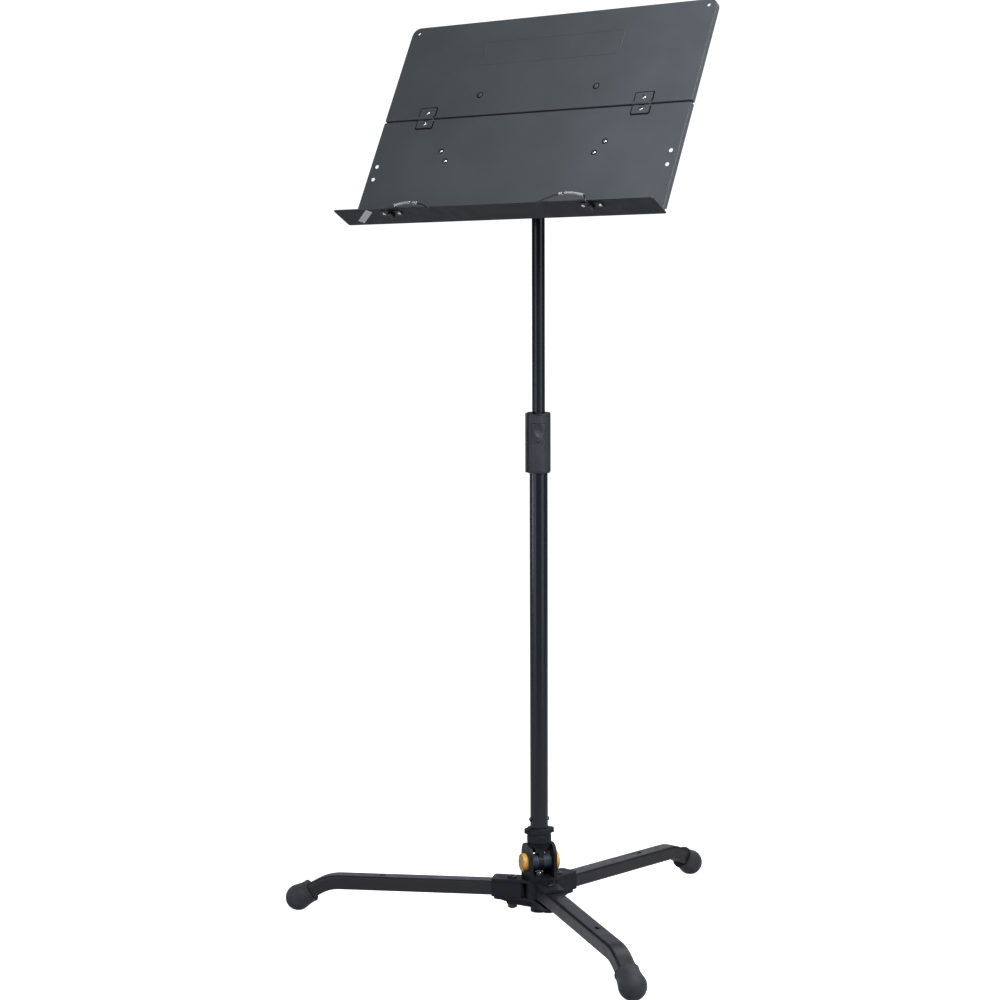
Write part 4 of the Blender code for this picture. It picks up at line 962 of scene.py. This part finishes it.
def make_sleeve():
    """A moulded sleeve with soft facets, and a shield-shaped window for the squeeze pad."""
    low, high = CLUTCH
    bottom_bore = OUTER_RADIUS + GAP
    mouth = CLUTCH_RADIUS - 0.0018
    bore = INNER_RADIUS + 0.0004
    profile = [(bottom_bore, low), (mouth, low), (CLUTCH_RADIUS - 0.0004, low + 0.0014)]
    profile += [(CLUTCH_RADIUS, low + 0.0034), (CLUTCH_RADIUS, high - 0.0030)]
    profile += [(CLUTCH_RADIUS - 0.0004, high - 0.0012), (CLUTCH_RADIUS - 0.0012, high), (mouth, high)]
    profile += [(mouth, BUSH[1] - 0.0023), (CLUTCH_CAVITY, BUSH[1] - 0.0023)]
    profile += [(CLUTCH_CAVITY, CLUTCH_SHELF[1]), (bore, CLUTCH_SHELF[1]), (bore, CLUTCH_SHELF[0])]
    profile += [(bottom_bore, CLUTCH_SHELF[0])]
    half = 0.0099
    point = PAD_LOW - 0.0004
    top = LEVER[1] + 0.0004
    shield = [(half, top), (-half, top), (-half, 0.6995), (-0.0012, point), (0.0012, point), (half, 0.6995)]
    window = moved(prism(shield, 0.0085, 0.03), OUTWARD)
    inside = hole(CLUTCH_CAVITY + 0.0004, LEVER[0] - 0.0004, point, 64)
    slot_up = (LEVER[0] - 0.0004, point + 0.0002)
    slot = block((0.0085, CLUTCH_RADIUS - CLUTCH_WALL), (-0.0059, 0.0059), slot_up)
    dip = moved(prism(arc(0, high + 0.0060, 0.0110, 180, 360, 24), 0.0040, 0.03), OUTWARD)
    cuts = (window, inside, slot, dip)
    sleeve = turned(profile, 120, soft_facets)
    piece(
        "clutch_sleeve", sleeve, "plastic", "mast", CLUTCH_PLACE, "clutch_housing",
        cuts=cuts, edge=0.0003,
    )


def make_spine():
    """A grooved strip down the sleeve's side."""
    low, high = CLUTCH
    strip = prism(rounded_rectangle(0.0105, 0.0070, 0.0024, 8), low + 0.0008, high - 0.0012)
    spine = moved(strip, rotation(-90, "Z") @ shifted(CLUTCH_RADIUS - 0.0034))
    hollow = hole(CLUTCH_RADIUS - CLUTCH_WALL, low, high, 96)
    depth = (-CLUTCH_RADIUS - 0.003, -CLUTCH_RADIUS - 0.0012)
    groove = block((-0.0006, 0.0006), depth, (low + 0.006, high - 0.006))
    piece("clutch_spine", spine, "seam", "mast", CLUTCH_PLACE, cuts=(hollow, groove), edge=0.0005)


def make_clutch_insides():
    at = CLUTCH_PLACE @ shifted(*LEVER_PIN) @ ALONG_Y
    low, high = extent("lever_pin", CLUTCH_PLACE)
    piece(
        "lever_hinge_pin", hole(0.0010, low.y, high.y, 24), "steel", "mast", at, "lever_pin",
        edge=0.0002,
    )
    low, high = heights("clutch_spring")
    points = coil(0.0101, low + 0.0005, high - 0.0017, 4)
    wire("clutch_coil", points, SPRING_WIRE, "steel", "mast", CLUTCH_PLACE, "clutch_spring")


def make_lever():
    """The squeeze pad: a shield with a thumb dish, on a neck that hangs inside the sleeve."""
    reach = CLUTCH_RADIUS + 0.0007
    turn = math.degrees(math.asin(PAD_HALF / reach))
    outline = arc(0, 0, reach, -turn, turn, 24) + [(0.0136, PAD_HALF), (0.0136, -PAD_HALF)]
    pad = prism(outline, PAD_LOW, LEVER[1])
    cuts = []
    for side in (-1, 1):
        slant = [(side * 0.0014, 0.684), (side * PAD_HALF, PAD_SHOULDER)]
        wedge = prism(slant + [(side * 0.02, PAD_SHOULDER), (side * 0.02, 0.684)], 0, 0.03)
        cuts.append(moved(wedge, OUTWARD))
    radius = 0.028
    dish = turned([(max(0.0, r), z) for r, z in arc(0, 0, radius, -90, 90, 40)], 96)
    cuts.append(moved(dish, shifted(reach - 0.0017 + radius, 0, 0.7010)))
    neck = prism(arc(0, 0, 0.0134, -24, 24, 12) + [(0.0113, 0.0053), (0.0113, -0.0053)], LEVER[0], 0.6900)
    under = middle("lock_plate", HUB).z + 0.0018
    joins = (neck, block((0.0114, 0.0148), (-0.0035, 0.0035), (under, under + 0.0020)))
    piece(
        "squeeze_pad", pad, "plastic", "lever", CLUTCH_PLACE, "clutch_lever",
        joins=joins, cuts=cuts, edge=0.0003,
    )


def make_bush():
    """The bush in the clutch's mouth."""
    low, high = BUSH
    bore = INNER_RADIUS + GAP
    body = CLUTCH_CAVITY - GAP
    flange = CLUTCH_RADIUS - 0.0021
    under = high - 0.0017
    profile = [(bore, low), (body, low), (body, under), (flange, under), (flange, high - 0.0006)]
    profile += [(flange - 0.0008, high), (bore + 0.0008, high), (bore, high - 0.0008)]
    piece("mouth_bush", turned(profile), "plastic", "swivel", HUB, "swivel_bush")


def make_head():
    """The casting on top of the inner tube, with the knuckle that the desk tilts on."""
    side = [(0, -0.060), (0.0125, -0.060), (0.0125, -0.024), (0.0120, -0.021), (0.0105, -0.018), (0, -0.018)]
    cap = turned([(radius, TILT_Z + z) for radius, z in side])
    at = shifted(z=TILT_Z) @ ALONG_X
    neck = block((-0.0064, 0.0064), (-0.0086, 0.0086), (TILT_Z - 0.0205, TILT_Z - 0.0050))
    joins = (neck, moved(hole(0.0125, -0.0070, 0.0070, 64), at))
    cup = hole(INNER_RADIUS + GAP, TILT_Z - 0.070, INNER_TUBE[1] + GAP, 64)
    cuts = (moved(hole(TILT_BORE), at), cup)
    place = UPRIGHT
    piece(
        "head_casting", cap, "casting", "slide", place, "tilt_head",
        joins=joins, cuts=cuts, edge=0.0007, rounds=3,
    )


# Desk


def panel_outline(low, high, corner, by=0.0):
    """Outline of a panel in (x, height above the bend), drawn in by a distance all round."""
    half = DESK_HALF - by
    outline = [(-half, low + by), (half, low + by)]
    if corner:
        outline += arc(DESK_HALF - corner, high - corner, corner - by, 0, 90, 16)
        outline += arc(corner - DESK_HALF, high - corner, corner - by, 90, 180, 16)
    else:
        outline += [(half, high - by), (-half, high - by)]
    return outline


def through(radius, x, height):
    """A cutter for a round hole in the desk, at this height above the bend."""
    return moved(hole(radius), shifted(x, 0, BEND + height) @ ALONG_Y)


def through_both(radius, places):
    return [through(radius, side * x, height) for side in (-1, 1) for x, height in places]


def pan_and_cuts(outer, inner):
    """A sheet with a rim turned back all round, and the cutters that hollow it and end the rim."""
    pan = prism(outer, FACE, FACE + RIM + 0.003)
    hollow = prism(inner, FACE + SHEET, FACE + 0.05)
    behind = block((-0.3, 0.3), (FACE + RIM, FACE + 0.06), (-0.3, 0.4))
    return moved(pan, STAND), [moved(hollow, STAND), behind]


def make_upper_panel():
    start = UPPER_LOW.z - BEND + SEAM
    end = UPPER_HIGH.z - BEND
    outlines = (panel_outline(start, end, DESK_CORNER), panel_outline(start, end, DESK_CORNER, SHEET))
    pan, cuts = pan_and_cuts(*outlines)
    cuts += through_both(0.0025, (CORNER_HOLE,))
    piece("desk_upper_sheet", pan, "desk", "upper", DESK, "upper_panel", cuts=cuts, first=SHEET_BEND)


def make_lower_panel():
    """The lower sheet turns forward into the tray, and its side rims end above the tray."""
    top = LOWER_HIGH.z - BEND - SEAM
    inner = panel_outline(-SHEET, top, 0, SHEET)
    for corner in (0, 1):
        inner[corner] = (inner[corner][0], -0.05)
    pan, cuts = pan_and_cuts(panel_outline(-SHEET, top, 0), inner)
    cuts += through_both(0.0028, EDGE_HOLES)
    behind = FACE + SHEET + GAP
    rim_end = [(behind, -0.02), (FACE + 0.06, -0.02), (FACE + 0.06, 0.06), (behind, 0.004)]
    cuts.append(moved(prism(rim_end, -0.3, 0.3), shifted(z=BEND) @ OUTWARD))
    tray = prism(rounded_rectangle(2 * TRAY_HALF, FACE - TRAY_FRONT + SHEET, 0.0030), BEND - SHEET, BEND)
    inside_bend = [(0, 0), (-0.0022, 0), (-0.0006, 0.0006), (0, 0.0022)]
    gusset = prism(inside_bend, -DESK_HALF + 0.001, DESK_HALF - 0.001)
    joins = (
        moved(tray, shifted(0, (FACE + SHEET + TRAY_FRONT) / 2, 0)),
        moved(gusset, shifted(0, FACE + 0.0001, BEND - 0.0001) @ OUTWARD),
    )
    node = "lower_panel"
    piece("desk_lower_sheet", pan, "desk", "desk", DESK, node, joins=joins, cuts=cuts, first=SHEET_BEND)


def pressed_outline(width, height, corner):
    along, up = PRESSED_FRAME_AT
    return [(x + along, y + up) for x, y in rounded_rectangle(width, height, corner)]


def make_pressed_frame():
    """The thin frame pressed into the upper panel."""
    bead = moved(prism(pressed_outline(0.227, 0.039, 0.003), FACE - 0.00035, FACE + 0.0002), STAND)
    window = moved(prism(pressed_outline(0.2242, 0.0362, 0.0018), FACE - 0.01, FACE + 0.01), STAND)
    piece("desk_pressed_frame", bead, "desk", "upper", DESK, cuts=(window,), edge=0.00025, rounds=3)


def rivet(name, node, body, paint, radius):
    """A domed rivet, its head on the desk's face, in a thin black ring of painted shadow."""
    centre = middle(node, DESK)
    length = extent(node, DESK)[1].y - FACE
    base = 0.0003
    head = 0.0012
    profile = [(0, -length), (0.0021, -length), (0.0021, 0), (radius, 0)]
    profile += dome(radius, base, head) + [(0, base + head)]
    at = DESK @ shifted(centre.x, FACE - 0.0001, centre.z) @ TOWARDS_PLAYER
    piece(name, turned(profile, 40), paint, body, at, node, edge=0.0002)
    # Painted shade: a thin black ring round the head, drawn as the shadow that falls round it.
    ring = hole(radius + 0.0013, -0.0002, 0.00035, 40)
    piece(f"{name}_washer", ring, "black", body, at, cuts=(hole(0.0020),), edge=0.0001)


def make_rivets():
    for side, _ in SIDES:
        for row in ("upper", "lower"):
            rivet(f"face_rivet_{side}_{row}", f"bracket_rivet_{side}_{row}", "desk", "steel", 0.0027)
        rivet(f"upper_rivet_{side}", f"rail_rivet_{side}", "upper", "desk", 0.0036)


def make_bracket():
    """The plate behind the desk, with two pressed ribs and the two ears of the tilt joint."""
    back = FACE + SHEET + GAP
    right_half = [(0.045, 0.066), (0.118, 0.084), (0.145, 0.090)]
    right_half += [(0.143, 0.122), (0.125, 0.124), (0.040, 0.146)]
    left_half = [(-x, height) for x, height in reversed(right_half)]
    plate = moved(prism(right_half + left_half, back, back + 0.0022), STAND)
    ear = [(back + 0.001, -0.030), (-0.004, -0.0130)] + arc(0, 0, 0.0135, -90, 90, 24)
    ear += [(-0.004, 0.0130), (back + 0.001, 0.024)]
    joins = []
    for side in (-1, 1):
        joins.append(moved(prism(ear, *sorted((side * 0.0074, side * 0.0100))), OUTWARD))
        rib = prism(rounded_rectangle(0.070, 0.006, 0.0029), back + 0.001, back + 0.0034)
        joins.append(moved(rib, STAND @ shifted(side * 0.062, 0.104, 0)))
    cuts = [moved(hole(TILT_BORE), ALONG_X)] + through_both(RIVET_BORE, BRACKET_RIVETS)
    node = "rear_bracket"
    piece("bracket_plate", plate, "dark_steel", "desk", DESK, node, joins=joins, cuts=cuts, edge=0.0006)


def make_tilt_bolt():
    washer = 0.0103
    bolt, recess = bolt_shape(0.0062, 0.0036, 0.0030, 0.0270, 0.0025)
    at = DESK @ shifted(washer) @ ALONG_X
    piece("tilt_axis_bolt", bolt, "dark_steel", "desk", at, "tilt_bolt", cuts=(recess,), edge=0.0003)
    at = DESK @ ALONG_X.inverted()
    make_nut("tilt_axis_nut", 0.0100, (washer, 0.0155), TILT_BORE, "steel", "desk", at, "tilt_nut")


def make_rail():
    """The channel across the back of the upper panel."""
    low, high = extent("upper_rail", DESK)
    rail = block((low.x, high.x), (low.y, high.y), (low.z, high.z))
    trough = block((-0.2, 0.2), (low.y + SHEET, high.y + 0.01), (low.z + SHEET, high.z - SHEET))
    cuts = [trough] + through_both(RIVET_BORE, (RAIL_RIVET,))
    node = "upper_rail"
    piece(
        "stiffening_rail", rail, "dark_steel", "upper", DESK, node,
        cuts=cuts, first=0.0008, edge=0.0002,
    )


def make_leaf(hinge, half, body, at, pin_y, z_range, rivet_z, spans):
    """A hinge leaf with its barrels and rivet, on a black plate that paints the shadow round its edge."""
    low, high = z_range
    back = FACE - GAP - pin_y
    front = back - SHEET
    centre = (low + high) / 2
    leaf = prism(rounded_rectangle(2 * HINGE_HALF, high - low, 0.0018), front, back)
    joins = []
    for span in spans:
        stem = sorted((math.copysign(0.0008, rivet_z), rivet_z * 0.5))
        joins.append(block(span, (front + 0.0001, back - 0.0001), stem))
        joins.append(moved(hole(HINGE_BARREL, *span), ALONG_X))
    bore = moved(hole(WIRE_BORE, steps=24), ALONG_X)
    node = f"{hinge}_{half}_leaf"
    leaf = moved(leaf, shifted(z=centre) @ SWAPPED)
    piece(f"{node}_plate", leaf, "desk", body, at, node, joins=joins, cuts=(bore,), edge=0.0003)
    # Painted shade: a black plate a little larger than the leaf and moved away from the pin, drawn as the dark
    # outline of shadow round it.
    outline = rounded_rectangle(2 * HINGE_HALF + 0.0036, high - low + 0.0018, 0.0024)
    lift = math.copysign(0.0009, rivet_z)
    shade_outline = moved(prism(outline, back - 0.0004, back + 0.0002), shifted(z=centre + lift) @ SWAPPED)
    piece(f"{node}_shim", shade_outline, "black", body, at, edge=0.0001)
    profile = [(0, -0.0035), (0.0016, -0.0035), (0.0016, 0), (0.0031, 0)]
    profile += dome(0.0031, 0.0002, 0.0010) + [(0, 0.0012)]
    head_at = at @ shifted(0, front - 0.00005, rivet_z) @ TOWARDS_PLAYER
    piece(f"{hinge}_{half}_rivet", turned(profile, 36), "steel", body, head_at, edge=0.0001)


def make_hinges():
    """Each hinge has a lower leaf with two barrels, an upper leaf with the middle one, and a pin."""
    pin_at = INTO_DESK @ joint_at("upper_panel_hinge")
    inner = HINGE_MIDDLE + GAP
    outer_spans = ((-HINGE_HALF, -inner), (inner, HINGE_HALF))
    for side, _ in SIDES:
        hinge = f"hinge_{side}"
        at = DESK @ shifted(middle(f"{hinge}_pin", DESK).x, pin_at.y, pin_at.z)
        make_leaf(hinge, "lower", "desk", at, pin_at.y, (-0.0150, -0.0034), -0.0080, outer_spans)
        make_leaf(
            hinge, "upper", "upper", at, pin_at.y,
            (0.0034, 0.0170), 0.0100, ((-HINGE_MIDDLE, HINGE_MIDDLE),),
        )
        pin = hole(0.0011, -HINGE_HALF, HINGE_HALF, 24)
        piece(f"{hinge}_rod", pin, "steel", "desk", at @ ALONG_X, f"{hinge}_pin", edge=0.0003)


def make_clip(name, pivot):
    """The strap under the tray that a page retainer turns in, with two screws."""
    under = BEND - SHEET - GAP
    bottom = under - 0.0012
    strap = prism(rounded_rectangle(0.0340, 0.0125, 0.0030), bottom, under)
    strap = moved(strap, shifted(pivot.x, TRAY_FRONT + 0.01125, 0))
    at = shifted(pivot.x, 0, pivot.z) @ ALONG_Y
    barrel = moved(hole(0.0026, TRAY_FRONT + 0.0052, TRAY_FRONT + 0.0173), at)
    depth = (TRAY_FRONT + 0.0056, TRAY_FRONT + 0.0169)
    joins = (barrel, block((pivot.x - 0.0016, pivot.x + 0.0016), depth, (pivot.z, under - 0.0005)))
    cuts = (moved(hole(WIRE_BORE, steps=24), at),)
    node = f"retainer_clip_{name}"
    piece(f"{node}_body", strap, "dark_steel", "desk", DESK, node, joins=joins, cuts=cuts, edge=0.0004)
    for number, x in enumerate((-0.013, 0.013)):
        screw, recess = bolt_shape(0.0023, 0.0014, 0.0012, 0.0020, 0.0010)
        at = DESK @ shifted(pivot.x + x, TRAY_FRONT + 0.0112, bottom) @ DOWNWARD
        piece(f"retainer_{name}_screw_{number}", screw, "steel", "desk", at, cuts=(recess,))


def make_arm(name, side, pivot, crest, rise, sleeves):
    """A bent wire that arches along the tray's front edge, with clear sleeves and a black cap."""
    ahead = extent(f"retainer_arm_{name}", DESK)[0].y + 0.0011 - pivot.y
    start, end = 0.0035, 0.0735

    def arch(along):
        return (-side * along, ahead, rise - 7.0 * (along - crest) ** 2)

    points = [(0, 0.0080, 0), (0, 0.0020, 0), (0, -0.0020, 0), (0, ahead + 0.0030, 0)]
    points += [(-side * 0.0008, ahead + 0.0007, 0.0012)]
    points += [arch(start + (end - start) * step / 10) for step in range(11)]
    at = DESK @ shifted(*pivot)
    body = f"retainer_{name}"
    wire(f"{body}_wire", smooth_path(points), 0.0009, "dark_steel", body, at, f"retainer_arm_{name}")
    for number, (first, last) in enumerate(sleeves):
        points = [arch(first + (last - first) * step / 12) for step in range(13)]
        wire(f"{body}_sleeve_{number}", points, 0.0019, "clear", body, at)
    profile = [(0, -0.0016), (0.0012, -0.0014), (0.0017, -0.0006)]
    profile += [(0.0017, 0.0022), (0.0013, 0.0028), (0, 0.0028)]
    tip = at @ Matrix.Translation(arch(end)) @ rotation(90 * side, "Y")
    piece(f"{body}_tip", turned(profile, 32), "plastic", body, tip)


def make_retainers():
    sleeves = {"left": ((0.0150, 0.0400), (0.0445, 0.0510)), "right": ((0.0057, 0.0349), (0.0390, 0.0430))}
    arches = {"left": (0.0370, 0.0085), "right": (0.0310, 0.0125)}
    for name, side in SIDES:
        pivot = INTO_DESK @ joint_at(f"retainer_{name}_hinge")
        make_clip(name, pivot)
        make_arm(name, side, pivot, *arches[name], sleeves[name])


def make_label():
    """A blank foil strip under the tray, at its left end."""
    start, end = Vector((-0.2290, -0.0070)), Vector((-0.1965, -0.0350))
    along = end - start
    strip = prism(rounded_rectangle(along.length, 0.0095, 0.0008), 0, 0.00012)
    centre = (start + end) / 2
    turn = Matrix.Rotation(math.atan2(along.y, along.x), 4, "Z")
    at = DESK @ shifted(centre.x, FACE + centre.y, BEND - SHEET - 0.00014) @ turn
    piece("blank_label", strip, "foil", "desk", at)


def paint_cad_nodes():
    """Each CAD node takes the procedural material of its slot."""
    for entry in frame["record"]["subparts"]:
        node = frame["nodes"][entry["node"]]
        node.data.materials.clear()
        node.data.materials.append(PAINT[entry["material_slot"]])


# Stage


def softbox(name, at, target, width, height, radiance, colour=(1, 1, 1)):
    """A rectangular light at a place, turned to a target, both measured from the mast's foot."""
    light = bpy.data.lights.new(name, "AREA")
    light.shape = "RECTANGLE"
    light.size = width
    light.size_y = height
    light.energy = 4 * radiance * width * height
    light.color = colour
    thing = linked(name, light)
    thing.location = FLOOR_AT + Vector(at)
    thing.rotation_euler = (FLOOR_AT + Vector(target) - thing.location).to_track_quat("-Z", "Y").to_euler()


def panel(name, heading, distance, z, width, height, radiance):
    """An upright soft panel that faces the mast from this heading, in degrees from +X."""
    turn = math.radians(heading)
    at = (distance * math.cos(turn), distance * math.sin(turn), z)
    softbox(name, at, (0, 0, z - 0.1), width, height, radiance, (0.80, 0.88, 1.0))


def make_camera():
    camera = bpy.data.cameras.new("camera")
    camera.lens = 74.566
    camera.sensor_width = 36
    camera.clip_end = 100
    thing = linked("camera", camera)
    thing.location = FLOOR_AT + Vector((1.56435, -2.42497, 0.844656))
    heading = Matrix.Rotation(math.radians(33.8996), 3, "Z")
    pitch = Matrix.Rotation(math.radians(90 - 4.78477), 3, "X")
    roll = Matrix.Rotation(math.radians(-0.17585), 3, "Z")
    thing.rotation_euler = (heading @ pitch @ roll).to_euler()
    bpy.context.scene.camera = thing


def lit_by_ray(tree, lighting, seen, socket):
    """The paper and the sky look white, but light the object more softly than that."""
    ray = tree.nodes.new("ShaderNodeLightPath")
    strength = tree.nodes.new("ShaderNodeMapRange")
    strength.inputs["To Min"].default_value = lighting
    strength.inputs["To Max"].default_value = seen
    tree.links.new(ray.outputs["Is Camera Ray"], strength.inputs["Value"])
    tree.links.new(strength.outputs["Result"], socket)


def make_stage():
    bpy.context.scene.view_settings.view_transform = "Standard"
    floor = mesh_object("floor", prism(circle(14, 96), -0.02, -0.0002), shifted(*FLOOR_AT))
    paper = Surface("floor_paper", "washer", (0.85, 0.95), Specular_IOR_Level=0.1)
    paper.shader.inputs["Emission Color"].default_value = (1, 1, 1, 1)
    paper.colours(paper.noise(3, 3), grey(0.50), grey(0.54))
    lit_by_ray(paper.tree, 0.15, 1.0, paper.shader.inputs["Emission Strength"])
    paper.rough(paper.noise(40))
    floor.data.materials.append(paper.material)
    floor.visible_diffuse = False

    world = bpy.data.worlds.new("studio")
    world.use_nodes = True
    background = world.node_tree.nodes["Background"]
    background.inputs["Color"].default_value = (1, 1, 1, 1)
    lit_by_ray(world.node_tree, 0.08, 1.1, background.inputs["Strength"])
    bpy.context.scene.world = world

    panel("left_panel", -107, 2.3, 1.20, 1.2, 2.3, 1.6)
    panel("right_panel", -6, 2.3, 1.20, 1.2, 2.3, 1.6)
    softbox("key", (1.00, -0.66, 1.62), (0.05, 0, 1.12), 0.6, 0.6, 27.0)
    softbox("low_left", (-1.35, -1.15, 0.45), (0.15, -0.22, 0.05), 0.5, 0.3, 6.0, (0.85, 0.90, 1.0))
    panel("rim_panel", 123, 2.4, 0.65, 1.8, 0.5, 0.9)
    softbox("back_glow", (0.2, 2.2, 2.6), (0, 0, 0.7), 1.6, 1.6, 3.0)


def build():
    make_camera()
    paint_cad_nodes()
    for name in LEGS:
        make_leg(name)
    steps = [make_top_plate, make_hub_body, make_pivots, make_centre_bolt, make_fork]
    steps += [make_fold_pin, make_knuckle, make_tube_screws, make_tubes, make_sleeve]
    steps += [make_spine, make_clutch_insides, make_lever, make_bush, make_head]
    steps += [make_upper_panel, make_lower_panel, make_pressed_frame, make_rivets, make_bracket]
    steps += [make_tilt_bolt, make_rail, make_hinges, make_retainers, make_label, make_stage]
    for make in steps:
        make()


build()
